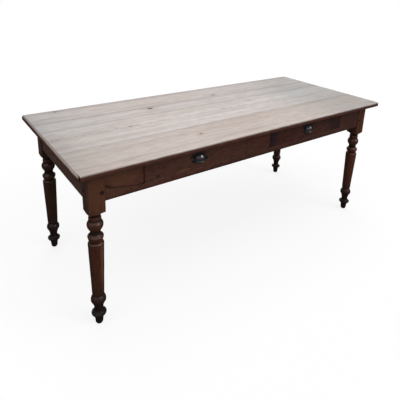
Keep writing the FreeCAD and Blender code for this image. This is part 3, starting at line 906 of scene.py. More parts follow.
print("peg holes are", PEG_HOLE_DEPTH / MM, "mm deep, with a gap of", PEG_GAP / MM, "mm")

# %% [markdown]
# ## From stick to leg
# At each height and in each direction the leg reaches as far as the lathe tool or the square
# stick allows, whichever is less, and that gives the curved shoulder under the block for free.
# The points of a ring stand closer together at the four arrises, which are slightly round.

# %% Leg tree
BLOCK_ARRIS = 1.6 * MM
ARRIS_ANGLES = (-2.6, -1.6, -0.8, 0.8, 1.6, 2.6)
leg_angles = [float(a) for a in range(0, 360, 5)]
leg_angles += [corner + a for corner in (45, 135, 225, 315) for a in ARRIS_ANGLES]
leg_angles = np.radians(sorted(leg_angles))


def stick_reach(tree, cosine, sine, half, arris):
    """Distance from the axis to the side of a square stick with rounded arrises."""
    sides = [sums(tree, "ABSOLUTE", cosine), sums(tree, "ABSOLUTE", sine)]
    more = sums(tree, "MAXIMUM", *sides)
    less = sums(tree, "MINIMUM", *sides)
    flat = sums(tree, "DIVIDE", half, more)
    # Towards a corner the way out ends on a circle around (inner, inner), not on a flat side
    inner = sums(tree, "SUBTRACT", half, arris)
    along = sums(tree, "MULTIPLY", inner, sums(tree, "ADD", more, less))
    short = sums(tree, "MULTIPLY", inner, sums(tree, "SUBTRACT", more, less))
    rest = sums(tree, "SUBTRACT", sums(tree, "POWER", arris, 2.0), sums(tree, "POWER", short, 2.0))
    round_side = sums(tree, "ADD", along, sums(tree, "SQRT", sums(tree, "MAXIMUM", rest, 0.0)))
    on_round = sums(tree, "GREATER_THAN", sums(tree, "MULTIPLY", flat, less), inner)
    return sums(tree, "MULTIPLY_ADD", on_round, sums(tree, "SUBTRACT", round_side, flat), flat)


def leg_tree():
    """Turned leg: every point goes as far out as the lathe tool and the stick allow."""
    tree, given, result = geometry_tree("turned_leg", {"Half Width": 35.0 * MM, "Arris": BLOCK_ARRIS})
    skin = swept(tree, given, "angle")
    angle = carried(tree, "angle")
    cosine = sums(tree, "COSINE", angle)
    sine = sums(tree, "SINE", angle)
    stick = stick_reach(tree, cosine, sine, given["Half Width"], given["Arris"])
    radius = sums(tree, "MINIMUM", carried(tree, "lathe"), stick)
    radius = sums(tree, "SUBTRACT", radius, carried(tree, "drawn_in"))
    wide = [sums(tree, "MULTIPLY", radius, share) for share in (cosine, sine)]
    coated(tree, given, result, set_out(tree, skin, triple(tree, *wide, 0.0)))
    return tree


leg_maker = leg_tree()
print("leg tree has", len(leg_maker.nodes), "nodes; each ring has", len(leg_angles), "points")

# %% [markdown]
# ## Wear of a leg
# A stick is never perfectly round after a hundred years, so each ring wanders a little, and
# the arrises of the block lose chips. Crests are rubbed, and hollows hold dirt and are darkened
# with painted shade as well: a ring's radius against the average near it tells which it is.

# %% Wear of a leg
CREST_WINDOW = 9
CREST_HEIGHT = 5.0 * MM
FOOT_FADE = 8.0 * MM
LEG_WANDER = {"size": 55 * MM, "depth": 0.35 * MM}
TOOL_MARKS = {"size": 9 * MM, "depth": 0.12 * MM}
LEG_CHIPS = {"size": 24 * MM, "depth": 1.6 * MM, "reach": 2 * MM, "rare": 0.15}


def crest_share(radii):
    """How far each ring stands out from the average of its neighbours; hollows are negative."""
    window = np.ones(2 * CREST_WINDOW + 1) / (2 * CREST_WINDOW + 1)
    padded = np.pad(radii, CREST_WINDOW, mode="edge")
    return (radii - np.convolve(padded, window, mode="valid")) / CREST_HEIGHT


def leg_dents(points, gap, is_block, seed):
    """Movement of each point along its radius: chips on the block, a wandering turning below."""
    above_foot = np.clip(points[:, 2] / FOOT_FADE, 0.0, 1.0)
    wander = rumple(points, LEG_WANDER["size"], seed) * LEG_WANDER["depth"]
    wander += rumple(points, TOOL_MARKS["size"], seed + 1) * TOOL_MARKS["depth"]
    chips = np.clip(rumple(points, LEG_CHIPS["size"], seed + 2) - LEG_CHIPS["rare"], 0.0, None)
    chips *= (gap < LEG_CHIPS["reach"]) * LEG_CHIPS["depth"]
    return np.where(is_block, -chips, wander * above_foot)


leg_crests = crest_share(leg_radii)
print("crests from", round(min(leg_crests), 2), "in hollows to", round(max(leg_crests), 2), "on beads")

# %% [markdown]
# ## Turn the legs
# Each leg is a stack of rings from the floor to the top of its block. The tree gives the clean
# leg, noise knocks it about, and the peg holes are cut last. The finish is set once before that
# cut, so that it has wear and grime to hand on, and once after it, because a Boolean leaves new
# faces with flat shading.

# %% Turn the legs
BLOCK_STEP = 9.0 * MM
LEDGE = 0.6 * MM
BLOCK_RUB = 4.0 * MM
CREST_RUB = 0.6
HOLLOW_DIRT_AND_SHADE = 1.5


def clean_leg(node_name, outline, half, finish):
    """Leg as it leaves the lathe, and the crest value of each of its points."""
    axis, block_end, heights, radii = outline
    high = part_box(node_name)[1]
    block_count = round((high.z - block_end) / BLOCK_STEP)
    block = np.linspace(block_end + LEDGE, high.z - BLOCK_ARRIS, block_count)
    heights = np.concatenate([heights, block, [high.z]])
    no_crest = np.zeros(len(block) + 1)
    spine = {"centre": np.array([(axis.x, axis.y, height) for height in heights]),
             "lathe": np.concatenate([radii, no_crest + 2 * half]),
             "crest": np.concatenate([crest_share(radii), no_crest]),
             "drawn_in": np.where(heights < high.z, 0.0, BLOCK_ARRIS)}
    values = {"Half Width": half, "Arris": BLOCK_ARRIS, "Material": finish}
    mesh = sweep(leg_maker, node_name + "_worn", spine, {"angle": leg_angles}, values)
    crest = read_value(mesh, "crest")
    drop_values(mesh, "ring", "angle", *spine)
    return mesh, crest


def turned_leg(node_name, seed):
    """One leg from floor to top, with its wear and grime."""
    outline = leg_outline(node_name)
    axis, block_end = outline[:2]
    low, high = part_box(node_name)
    half = (high.x - low.x) / 2
    finish = stain_leg["left" if "left" in node_name else "right"]
    mesh, crest = clean_leg(node_name, outline, half, finish)
    points = points_of(mesh)
    from_axis = (points - (axis.x, axis.y, 0.0)) * (1.0, 1.0, 0.0)
    gap = np.clip(half - np.abs(from_axis[:, :2]).min(axis=1), 0.0, None)
    outward = from_axis / np.linalg.norm(from_axis, axis=1)[:, None]
    is_block = points[:, 2] > block_end
    points += outward * leg_dents(points, gap, is_block, seed)[:, None]
    mesh.vertices.foreach_set("co", points.astype(np.float32).ravel())
    wear = np.where(is_block, np.exp(-gap / BLOCK_RUB), np.clip(crest * CREST_RUB, 0, 1))
    # Hollows get dirt and painted shade, strong enough to make the grooves nearly black.
    grime = np.clip(-crest * HOLLOW_DIRT_AND_SHADE, 0, 1)
    finish_mesh(mesh, finish, wear=wear, grime=grime)
    bm = bmesh.new()
    bm.from_mesh(mesh)
    bm = without(bm, peg_holes(low, high))
    bm.to_mesh(mesh)
    bm.free()
    finish_mesh(mesh, finish)
    return place_piece(mesh, node_name + "_worn", [node_name])


leg_names = sorted(n for n in nodes if n.startswith("leg_"))
for leg_seed, leg_name in enumerate(leg_names):
    leg = turned_leg(leg_name, leg_seed + 1)
    print(leg.name, len(leg.data.polygons), "faces")

# %% [markdown]
# ## Boards with softened arrises
# Sawn boards leave CAD with knife edges, and no old table has one. A copy of each board gets
# its loose triangles merged into flat faces, its long edges rounded, and a grid of cuts, so
# that there are points near the arrises to bruise and to paint with wear. A voxel remesh would
# round everything too, but it would also melt the dovetails.

# %% Cuts and arrises of a board
FLAT_AREA = 4e-4
FLAT_NORMAL = 0.999
SAME_PLACE = 1e-6
WEAR_FADE = 3.2 * MM
TURN_ANGLE = math.radians(15.0)


def flat_places(bm, axis):
    """Where the flat faces across an axis are."""
    flat = [f for f in bm.faces
            if abs(f.normal[axis]) > FLAT_NORMAL and f.calc_area() > FLAT_AREA]
    return sorted({round(f.calc_center_median()[axis], 4) for f in flat})


def slice_mesh(bm, low, high, cell, flats):
    """Cut a mesh by planes across all three axes: a grid, and two cuts beside each flat face."""
    for axis in range(3):
        normal = [0.0, 0.0, 0.0]
        normal[axis] = 1.0
        count = max(1, round((high[axis] - low[axis]) / cell))
        places = list(np.linspace(low[axis], high[axis], count + 1)[1:-1])
        places += [flat + gap for flat in flats[axis] for gap in (-WEAR_FADE, WEAR_FADE)]
        for place in places:
            spot = [0.0, 0.0, 0.0]
            spot[axis] = place
            everything = bm.verts[:] + bm.edges[:] + bm.faces[:]
            bmesh.ops.bisect_plane(bm, geom=everything, plane_co=spot, plane_no=normal,
                                   dist=SAME_PLACE)


def rubbed_and_dirty(bm):
    """Full wear at the points of outer arrises, and full grime at those of inner corners."""
    bm.verts.index_update()
    wear = np.zeros(len(bm.verts))
    grime = np.zeros(len(bm.verts))
    for edge in bm.edges:
        if edge.is_manifold and edge.calc_face_angle() > TURN_ANGLE:
            layer = wear if edge.is_convex else grime
            for vert in edge.verts:
                layer[vert.index] = 1.0
    return wear, grime


print("wear and grime fade within", WEAR_FADE / MM, "mm of an edge")

# %% [markdown]
# ## Soften a board
# The steps come in the order of the real ones: the board is sawn, its arrises are broken, it
# splits or is cut, and then it is knocked and rubbed. Points on an arris are pushed in by noise
# where it bites, and each face sways by about a tenth of a millimetre, as dry wood does.

# %% Soften a board
FLAT_ANGLE = math.radians(1.0)
SHORT_EDGE = 4.5 * MM
BITE = {"size": 22 * MM, "rare": 0.05}
SWAY = {"size": 160 * MM, "depth": 0.12 * MM}


def soft_board(node_name, finish, arris, cell, seed, bruise=0.5 * MM, cutters=(), soil=None):
    """Worn copy of a CAD board; its outer arrises are rubbed and its inner corners hold dirt.

    Cutters are taken out of the board, and soil is a function that adds dirt at each point.
    """
    low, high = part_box(node_name)
    bm = bmesh.new()
    bm.from_mesh(nodes[node_name].data)
    bmesh.ops.remove_doubles(bm, verts=bm.verts[:], dist=WELD)
    bmesh.ops.dissolve_limit(bm, angle_limit=FLAT_ANGLE, verts=bm.verts[:], edges=bm.edges[:])
    flats = [flat_places(bm, axis) for axis in range(3)]
    edges = [e for e in bm.edges if e.is_manifold and e.calc_length() > SHORT_EDGE
             and e.calc_face_angle() > SHARP_ANGLE]
    bmesh.ops.bevel(bm, geom=edges, offset=arris, segments=2, profile=0.5, affect="EDGES",
                    clamp_overlap=True)
    for cutter in cutters:
        bm = without(bm, cutter)
    slice_mesh(bm, low, high, cell, flats)
    bm.normal_update()
    wear, grime = rubbed_and_dirty(bm)
    push = np.array([vert.normal for vert in bm.verts])
    mesh = bpy.data.meshes.new(node_name + "_worn")
    bm.to_mesh(mesh)
    bm.free()
    points = points_of(mesh)
    if soil:
        grime = np.maximum(grime, soil(points))
        wear *= 1.0 - grime
    bite = np.clip(rumple(points, BITE["size"], seed) - BITE["rare"], 0, None) * wear * bruise
    sway = rumple(points, SWAY["size"], seed + 3) * SWAY["depth"]
    points = points - push * (bite + sway)[:, None]
    mesh.vertices.foreach_set("co", points.astype(np.float32).ravel())
    finish_mesh(mesh, finish, wear=wear, grime=grime)
    return place_piece(mesh, node_name + "_worn", [node_name])


print("boards are cut with edges over", SHORT_EDGE / MM, "mm rounded")

# %% [markdown]
# ## Aprons, and the split in the front one
# The front apron has dried and split from the corner of a drawer notch to the leg: the short
# grain there is where such a board always fails. A shallow wedge along a bent line opens its
# worn mouth and a thin deep one the crack, both cut with a Boolean, so that light and dirt
# behave in it as in a real crack.

# %% The split
SPLIT_PATH = [(-673, 636.2), (-703, 640.0), (-729, 642.2), (-754, 646.2), (-779, 650.2),
              (-807, 655.1), (-819, 658.6), (-832, 664.5), (-843, 671.3), (-851, 676.0)]
SPLIT_MOUTH = {"half": 3.0, "depth": 0.25}
SPLIT_CRACK = {"half": 1.0, "depth": 7.0}
SPLIT_END_SHARE = 0.65
WEDGE_IN_TO_OUT = 9


def split_gap(points):
    """Distance of each point from the line of the split, seen from the front."""
    places = points[:, [0, 2]]
    path = np.array(SPLIT_PATH) * MM
    gaps = []
    for start, end in zip(path, path[1:]):
        step = end - start
        share = np.clip((places - start) @ step / (step @ step), 0.0, 1.0)
        gaps.append(np.linalg.norm(places - start - share[:, None] * step, axis=1))
    return np.min(gaps, axis=0)


def split_wedge(face_y, half, depth):
    """Wedge with its blunt side in front of the board and its edge inside it."""
    bm = bmesh.new()
    rows = []
    for step, (x, z) in enumerate(SPLIT_PATH):
        share = step / (len(SPLIT_PATH) - 1)
        open_half = half * (1 - share * (1 - SPLIT_END_SHARE))
        front = -depth / WEDGE_IN_TO_OUT
        corners = [(x, front, z + open_half), (x, front, z - open_half), (x, depth, z)]
        rows.append([bm.verts.new((a * MM, face_y + b * MM, c * MM)) for a, b, c in corners])
    for first, second in zip(rows, rows[1:]):
        for side in range(3):
            after = (side + 1) % 3
            bm.faces.new((first[side], first[after], second[after], second[side]))
    bm.faces.new(rows[0])
    bm.faces.new(reversed(rows[-1]))
    bmesh.ops.recalc_face_normals(bm, faces=bm.faces[:])
    mesh = bpy.data.meshes.new("split_wedge")
    bm.to_mesh(mesh)
    bm.free()
    return mesh


print("the split runs", SPLIT_PATH[0][0] - SPLIT_PATH[-1][0], "mm along the apron")

# %% [markdown]
# ## Dirt on the aprons
# A cloth wipes the flat of a board and never gets into its corners. Dirt therefore depends on
# how near a point is to a joint, to the crack, to the lower arris or to a drawer notch, and it
# fades over a few millimetres. The finish reads it as the grime of the board.

# %% Aprons
CRACK_DIRT = {"full": 1.2 * MM, "fade": 1.5 * MM}
NOTCH_GAP = {"left": 2.4 * MM, "right": 0.6 * MM}
NOTCH_REACH = 3.0 * MM
UNDER_FADE = 10.0 * MM
SOIL_SHARE = {"joint": 0.8, "under": 0.8, "notch floor": 0.5}


def closeness(gap, fade):
    """1 at no distance, falling to 0 over the fade."""
    return np.clip(1.0 - gap / fade, 0.0, 1.0)


def joint_soil(points):
    """Dirt on a board where it meets a leg."""
    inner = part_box("leg_back_right")[0]
    beside = np.abs(np.abs(points[:, 0]) - inner.x)
    before = np.abs(np.abs(points[:, 1]) - inner.y)
    gap = np.minimum(beside, before)
    return SOIL_SHARE["joint"] * closeness(gap, WEAR_FADE)


def front_soil(points):
    """Dirt at the joints, in the crack, along the lower arris and in the drawer notches."""
    crack = closeness(split_gap(points) - CRACK_DIRT["full"], CRACK_DIRT["fade"])
    under = closeness(points[:, 2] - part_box("apron_front")[0].z, UNDER_FADE)
    soil = np.maximum.reduce([joint_soil(points), crack, SOIL_SHARE["under"] * under])
    for drawer_front in ("drawer_left_front", "drawer_right_front"):
        low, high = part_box(drawer_front)
        for notch_end in (low.x - NOTCH_GAP["left"], high.x + NOTCH_GAP["right"]):
            beside = closeness(np.abs(points[:, 0] - notch_end), WEAR_FADE)
            soil = np.maximum(soil, beside * (points[:, 2] > low.z - 1 * MM))
        along = (points[:, 0] > low.x - NOTCH_REACH) & (points[:, 0] < high.x + NOTCH_REACH)
        floor_gap = closeness(np.abs(points[:, 2] - low.z), WEAR_FADE)
        soil = np.maximum(soil, SOIL_SHARE["notch floor"] * floor_gap * along)
    return soil


APRON_ARRIS = 1.0 * MM
APRON_CELL = 14.0 * MM
APRON_FINISH = {"apron_back": stain_back, "apron_front": stain_front,
                "apron_left": stain_left, "apron_right": stain_right}
for board_seed, (board_name, board_finish) in enumerate(APRON_FINISH.items()):
    extra = {"soil": joint_soil}
    if board_name == "apron_front":
        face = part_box(board_name)[0].y
        wedges = [split_wedge(face, **cut) for cut in (SPLIT_MOUTH, SPLIT_CRACK)]
        extra = {"soil": front_soil, "cutters": wedges}
    board = soft_board(board_name, board_finish, APRON_ARRIS, APRON_CELL, board_seed + 11, **extra)
    print(board.name, len(board.data.polygons), "faces")

# %% [markdown]
# ## The scrubbed top
# The top was scrubbed with soda and sand for so long that it is grey and almost bare. Four
# broad planks show: each is from another tree, so each gets its own tone, its own place in the
# log and its own knots. A knot is a small round mask; the same mask pushes the growth rings
# aside, and so the lines run round it.

# %% Knots and flecks
SCRUBBED = {
    "early": (0.715, 0.671, 0.655, 1.0),
    "late": (0.520, 0.448, 0.412, 1.0),
    "knot": (0.105, 0.070, 0.056, 1.0),
    "halo": (0.420, 0.320, 0.265, 1.0),
    "dirt_and_shade": (0.150, 0.118, 0.104, 1.0),
}
TOP_FACE = cad_high.z
UNDER_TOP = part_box("top_plank_back")[0].z
KNOT_STRETCH = (0.62, 1.0, 0.0)
FLECK_BAND = (2.0 * MM, 9.0 * MM)
FLECK_FADE = 50.0 * MM


def knot_masks(tree, place, knots):
    """Dark cores and pale halos of all knots, and how far they push the rings aside."""
    ragged = cloud(tree, place, (95.0, 140.0, 10.0), 3.0)
    cores = 0.0
    halos = 0.0
    swirl = 0.0
    for x, y, size, depth in knots:
        gap = reach(tree, place, (x * MM, y * MM, TOP_FACE), KNOT_STRETCH)
        gap = sums(tree, "MULTIPLY_ADD", ragged, size * 0.9 * MM, gap)
        core = ease(tree, gap, size * 0.95 * MM, size * 1.45 * MM, depth, 0.0)
        halo = ease(tree, gap, size * 0.8 * MM, size * 4.5 * MM, 1.0, 0.0)
        cores = sums(tree, "MAXIMUM", core, cores)
        halos = sums(tree, "MAXIMUM", sums(tree, "MULTIPLY", halo, depth), halos)
        swirl = sums(tree, "MULTIPLY_ADD", halo, size * 1.6 * MM, swirl)
    return cores, halos, swirl


def flecked(tree, colour, place, flecks):
    """Colour with a row of dark flecks at one y, which thins out past its end."""
    x, y, z = add_node(tree, "ShaderNodeSeparateXYZ", {"Vector": place}).outputs
    end = flecks["end"] * MM
    off = sums(tree, "ABSOLUTE", sums(tree, "SUBTRACT", y, flecks["y"] * MM))
    band = ease(tree, off, *FLECK_BAND, 1.0, 0.0)
    inside = ease(tree, x, end - FLECK_FADE, end + FLECK_FADE, 1.0, 0.25)
    spots = ease(tree, cloud(tree, place, (34.0, 120.0, 1.0), 2.0), 0.50, 0.66)
    spots = sums(tree, "MULTIPLY", sums(tree, "MULTIPLY", spots, band), inside)
    return tint(tree, sums(tree, "MULTIPLY", spots, 0.62), colour, SCRUBBED["knot"])


print("the top is", round((TOP_FACE - UNDER_TOP) / MM), "mm thick")

# %% [markdown]
# ## Painted shade at the ends of the top
# A brush goes to and fro in the middle of a table. The ends and the back of this top are painted
# darker and greyer: painted shade where the light falls off, and along the back edge and the
# left end also the grey of wood that the brush missed. The brown stain is still on the sides,
# and the underside was never finished at all. The place of a point tells the finish which of
# these it is, so no mask has to be drawn.

# %% Painted shade at the ends, brown sides and bare underside
END_PAINTED_SHADE = {
    "left": {"along": (-0.97, -0.45, 0.75, 0.0), "across": (-0.40, -0.10, 0.45, 1.0),
             "tone": (0.76, 0.79, 0.80, 1.0)},
    "right": {"along": (0.30, 0.72, 0.0, 1.0), "across": (0.10, 0.30, 1.0, 0.45),
              "tone": (0.785, 0.830, 0.855, 1.0)},
}
HEM_PAINTED_SHADE = {"deep": (-0.20, 0.345, 0.0, 0.28), "back": (0.345, 0.380, 0.0, 0.98),
       "left": (-0.975, -0.83, 0.80, 0.0)}
HEM_SHADE_TONE = (0.78, 0.78, 0.79, 1.0)
SIDE_TONE = (0.86, 0.84, 1.0)
BLOTCH_SHARE = 0.24


def painted_shade_at_ends(tree, colour, x, y):
    """Painted shade: colour made darker and greyer towards both ends, then along the back edge and the
    left end.
    """
    for end in END_PAINTED_SHADE.values():
        share = sums(tree, "MULTIPLY", ease(tree, x, *end["along"]), ease(tree, y, *end["across"]))
        colour = tint(tree, share, colour, end["tone"], "MULTIPLY")
    hem = ease(tree, y, *HEM_PAINTED_SHADE["deep"])
    hem = sums(tree, "MAXIMUM", hem, ease(tree, y, *HEM_PAINTED_SHADE["back"]))
    hem = sums(tree, "MAXIMUM", hem, ease(tree, x, *HEM_PAINTED_SHADE["left"]))
    return tint(tree, hem, colour, HEM_SHADE_TONE, "MULTIPLY")


def brown_side(tree, figure, smear):
    """Stain that is left on the sides, with worn smears."""
    early, late, worn = [blend(STAIN[wood], SIDE_TONE) for wood in ("early", "late", "worn")]
    colour = tint(tree, ease(tree, figure, 0.0, 1.0, 0.0, 0.5), early, late)
    return tint(tree, ease(tree, smear, 0.48, 0.72, 0.0, 0.25), colour, worn)


def bare_underside(tree, figure, blotch):
    """Bare wood with dust in its blotches."""
    colour = tint(tree, figure, BARE["early"], BARE["late"])
    return tint(tree, ease(tree, blotch, 0.0, BLOTCH_SHARE, 0.2, 0.75), colour, BARE_DUST)


print("shade on the", " and ".join(END_PAINTED_SHADE), "end of the top")

# %% [markdown]
# ## One finish from top to underside
# The grey face, the brown side and the bare underside are one board, so they are one finish:
# the rings run on from one to the next. Height decides which colour shows, and a little noise
# on that height keeps the border between scrubbed and stained wood uneven.

# %% Scrubbed pine finish
TOP_RING = 7.2 * MM
STAIN_FADE = (TOP_FACE - 8.0 * MM, TOP_FACE - 0.3 * MM)
BARE_FADE = (UNDER_TOP + 0.3 * MM, UNDER_TOP + 2.0 * MM)
SMEAR_DEPTH = 3.0 * MM
SEAM_DIRT = (0.030, 0.022, 0.019, 1.0)
WARM_TONE = (0.97, 0.925, 0.885, 1.0)
MOTTLE_TONE = (0.905, 0.895, 0.89, 1.0)


def bleached(tree, space, tone, figure, streak, fibre, blotch):
    """Grey wood with late wood lines, mottle, warm patches, pores and blotches."""
    early, late = [blend(SCRUBBED[wood], tone) for wood in ("early", "late")]
    pore = scaled(late, 0.6)
    colour = tint(tree, figure, early, late)
    colour = tint(tree, ease(tree, streak, 0.46, 0.70, 0.0, 0.36), colour, late)
    colour = clouded(tree, colour, MOTTLE_TONE, space, (17.0, 55.0, 55.0), 4.0, (0.40, 0.62), 1.0,
                     "MULTIPLY")
    colour = clouded(tree, colour, WARM_TONE, space, (1.3, 5.0, 5.0), 3.0, (0.46, 0.66), 0.75,
                     "MULTIPLY")
    colour = clouded(tree, colour, pore, space, (26.0, 330.0, 330.0), 2.0, (0.58, 0.74), 0.34)
    colour = tint(tree, blotch, colour, late)
    return tint(tree, sums(tree, "MULTIPLY", fibre, 0.16), colour, SCRUBBED["late"])


def scrubbed_pine(name, shift, pith, tone, run="X", knots=(), flecks=None, dirt_and_shade=SCRUBBED["dirt_and_shade"]):
    """Bleached plank with knots, and with brown stain left on its sides."""
    finish, tree, shader = new_finish(name)
    place = add_node(tree, "ShaderNodeTexCoord").outputs["Object"]
    x, y, z = add_node(tree, "ShaderNodeSeparateXYZ", {"Vector": place}).outputs
    space = grain_space(tree, run, shift)
    cores, halos, swirl = knot_masks(tree, place, knots)
    late, streak, fibre = pine_figure(tree, space, TOP_RING, pith, swirl)
    figure = sums(tree, "MULTIPLY", late, ease(tree, streak, 0.30, 0.70, 0.10, 0.85))
    blotch = ease(tree, cloud(tree, space, (2.4, 7.0, 7.0), 4.0), 0.45, 0.72, 0.0, BLOTCH_SHARE)
    colour = bleached(tree, space, tone, figure, streak, fibre, blotch)
    if flecks:
        colour = flecked(tree, colour, place, flecks)
    if knots:
        colour = tint(tree, sums(tree, "MULTIPLY", halos, 0.45), colour, SCRUBBED["halo"])
        colour = tint(tree, cores, colour, SCRUBBED["knot"])
    colour = painted_shade_at_ends(tree, colour, x, y)
    smear = cloud(tree, space, (24.0, 75.0, 75.0), 3.0)
    patchy = ease(tree, smear, 0.30, 0.70, 0.25, 0.95)
    colour = tint(tree, sums(tree, "MULTIPLY", painted(tree, "grime"), patchy), colour, dirt_and_shade)
    colour = tint(tree, painted(tree, "seam"), colour, SEAM_DIRT)
    uneven = sums(tree, "MULTIPLY_ADD", sums(tree, "SUBTRACT", smear, 0.5), SMEAR_DEPTH, z)
    side = ease(tree, uneven, *STAIN_FADE, 1.0, 0.0)
    colour = tint(tree, side, colour, brown_side(tree, figure, smear))
    under = ease(tree, z, *BARE_FADE, 1.0, 0.0)
    colour = tint(tree, under, colour, bare_underside(tree, figure, blotch))
    feed(tree, shader.inputs["Base Color"], colour)
    feed(tree, shader.inputs["Roughness"], ease(tree, side, 0.0, 1.0, 0.72, 0.45))
    shader.inputs["Specular IOR Level"].default_value = 0.30
    wood_bump(tree, shader, late, fibre, 0.30)
    return finish


print("scrubbed pine with rings of", round(TOP_RING / MM, 1), "mm")

# %% [markdown]
# ## Planks and end strips
# Four planks get their finish one by one: tone, place in the log, and knots given as x, y, size
# and depth. A thin strip across the grain covers the plank ends at each end of the top. It is
# an ordinary board, so it is softened like one, and it has dirt where it meets the planks.

# %% Plank finishes and end strips
PLANK_LOOK = {
    "top_plank_back": {
        "shift": 0.9, "pith": (0.315, 0.70), "tone": (0.95, 0.93, 0.92),
        "knots": [(141, 244, 8, 0.85), (-811, 377, 8, 0.7)]},
    "top_plank_mid_back": {
        "shift": 3.1, "pith": (0.10, 0.62), "tone": (0.98, 0.98, 0.985),
        "knots": [(-345, 187, 13, 1.0)]},
    "top_plank_mid_front": {
        "shift": 5.3, "pith": (-0.022, 0.735), "tone": (1.02, 1.02, 1.02),
        "knots": [(259, 35, 10, 0.35), (-571, -22, 7, 0.55)],
        "flecks": {"y": -22.0, "end": 170.0}},
    "top_plank_front": {
        "shift": 7.7, "pith": (-0.33, 0.69), "tone": (0.92, 0.87, 0.83),
        "knots": [(-328, -282, 7, 0.9)]},
}
plank_finish = {}
for plank_name, plank_look in PLANK_LOOK.items():
    plank_finish[plank_name] = scrubbed_pine("scrubbed_" + plank_name, **plank_look)
strip_finish = scrubbed_pine("scrubbed_end_strip", 1.3, (0.9, 0.2), (0.90, 0.80, 0.72), "Y",
                             dirt_and_shade=SEAM_DIRT)
STRIP = {"arris": 0.6 * MM, "cell": 11.0 * MM, "bruise": 0.9 * MM}
STRIP_JOINT = 1.4 * MM
STRIP_OUTER = (4.0 * MM, 5.0 * MM)
STRIP_BACK = (-0.10, 0.30)
plank_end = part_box("top_plank_back")[1].x


def strip_soil(points):
    """Dirt on an end strip: against the plank ends, and on its outer side towards the back."""
    past_planks = np.abs(points[:, 0]) - plank_end
    outer = np.interp(past_planks, STRIP_OUTER, (0.0, 1.0))
    outer *= np.interp(points[:, 1], STRIP_BACK, (0.0, 1.0))
    return np.maximum(closeness(past_planks, STRIP_JOINT), outer)


for strip_seed, strip_name in enumerate(["end_strip_left", "end_strip_right"]):
    soft_board(strip_name, strip_finish, seed=strip_seed + 21, soil=strip_soil, **STRIP)
print("scrubbed finishes for", len(plank_finish), "planks; two strips softened")

# %% [markdown]
# ## Section of a plank
# A plank is the same section all along its length, so it is swept: one loop of points across
# the plank, repeated at many places along it. The free sides are rounded as in the CAD model;
# the joints have a tongue or a groove and a small worn arris, and that arris is what draws the
# dark line between two planks.

# %% Section of a plank
TOP_ROUND = 10.0 * MM
UNDER_ROUND = 8.0 * MM
JOINT_ARRIS = 0.9 * MM
JOINT_GAP = 0.20 * MM
TONGUE_LENGTH = 7.0 * MM
TONGUE_THICKNESS = 8.0 * MM
EDGE_POINTS = [1.0 * MM, 3.0 * MM, 7.0 * MM]
ACROSS_STEP = 11.0 * MM


def quarter(radius, steps):
    """Steps on a quarter round, from (radius, 0) to (0, radius)."""
    angles = np.linspace(0.0, math.pi / 2, steps + 1)
    return [(radius * (1 - math.sin(a)), radius * (1 - math.cos(a))) for a in angles]


def plank_side(kind):
    """Side of a plank from its lower to its upper arris, as (distance inwards, height)."""
    middle = (UNDER_TOP + TOP_FACE) / 2
    if kind == "free":
        lower = [(inward, UNDER_TOP + up) for inward, up in quarter(UNDER_ROUND, 5)]
        upper = [(inward, TOP_FACE - down) for inward, down in reversed(quarter(TOP_ROUND, 8))]
        return lower + [(0.0, middle)] + upper
    step = {"tongue": -TONGUE_LENGTH, "groove": TONGUE_LENGTH + JOINT_GAP}[kind]
    half = TONGUE_THICKNESS / 2
    lower = [(inward + JOINT_GAP, UNDER_TOP + up) for inward, up in quarter(JOINT_ARRIS, 2)]
    round_top = reversed(quarter(JOINT_ARRIS, 3))
    upper = [(inward + JOINT_GAP, TOP_FACE - down) for inward, down in round_top]
    tooth = [(JOINT_GAP, middle - half), (step, middle - half),
             (step, middle + half), (JOINT_GAP, middle + half)]
    return lower + tooth + upper


def spread(front, back, step):
    """Places from front to back, close together near both ends."""
    near = [front + gap for gap in EDGE_POINTS]
    far = [back - gap for gap in reversed(EDGE_POINTS)]
    count = max(2, round((far[0] - near[-1]) / step))
    return near + list(np.linspace(near[-1], far[0], count + 1)[1:-1]) + far


def plank_section(front, front_kind, back, back_kind):
    """Loop of (y, z) points: up the front side, over the top, down the back side and below."""
    rise = [(front + inward, z) for inward, z in plank_side(front_kind)]
    fall = [(back - inward, z) for inward, z in reversed(plank_side(back_kind))]
    over = [(y, TOP_FACE) for y in spread(rise[-1][0], fall[0][0], ACROSS_STEP)]
    below = [(y, UNDER_TOP) for y in reversed(spread(rise[0][0], fall[-1][0], 4 * ACROSS_STEP))]
    return np.array(rise + over + fall + below)


print("a joint has a tongue of", TONGUE_LENGTH / MM, "mm and a gap of", JOINT_GAP / MM, "mm")

# %% [markdown]
# ## Wear of a plank
# A scrubbed face sinks and swells by fractions of a millimetre, mostly along the grain, and its
# arrises lose small chips. All of this moves points of the swept plank by noise. At the front
# left corner the strip over the plank ends has come loose, which leaves a narrow open seam.

# %% Wear of a plank
CORNER_ROUND = 14.0 * MM
OPEN_SEAM = {"width": 4.2 * MM, "length": 30.0 * MM}
STATION = 13.0 * MM
END_ARRIS = 0.8 * MM
END_DIRT = 0.75
SUNK = 0.35 * MM
WAVES = {"stretch": (0.22, 1.0, 1.0), "size": 60.0 * MM, "depth": 0.38 * MM}
RIPPLE = {"stretch": (0.15, 1.0, 1.0), "size": 14.0 * MM, "depth": 0.10 * MM}
CHIPS = {"stretch": (0.6, 1.0, 1.0), "size": 11.0 * MM, "depth": 2.4 * MM, "rare": 0.28}
JOINT_DIRT = {"share": 0.60, "fade": 4.0 * MM, "wall": 1.5 * MM, "below": 0.8 * MM}


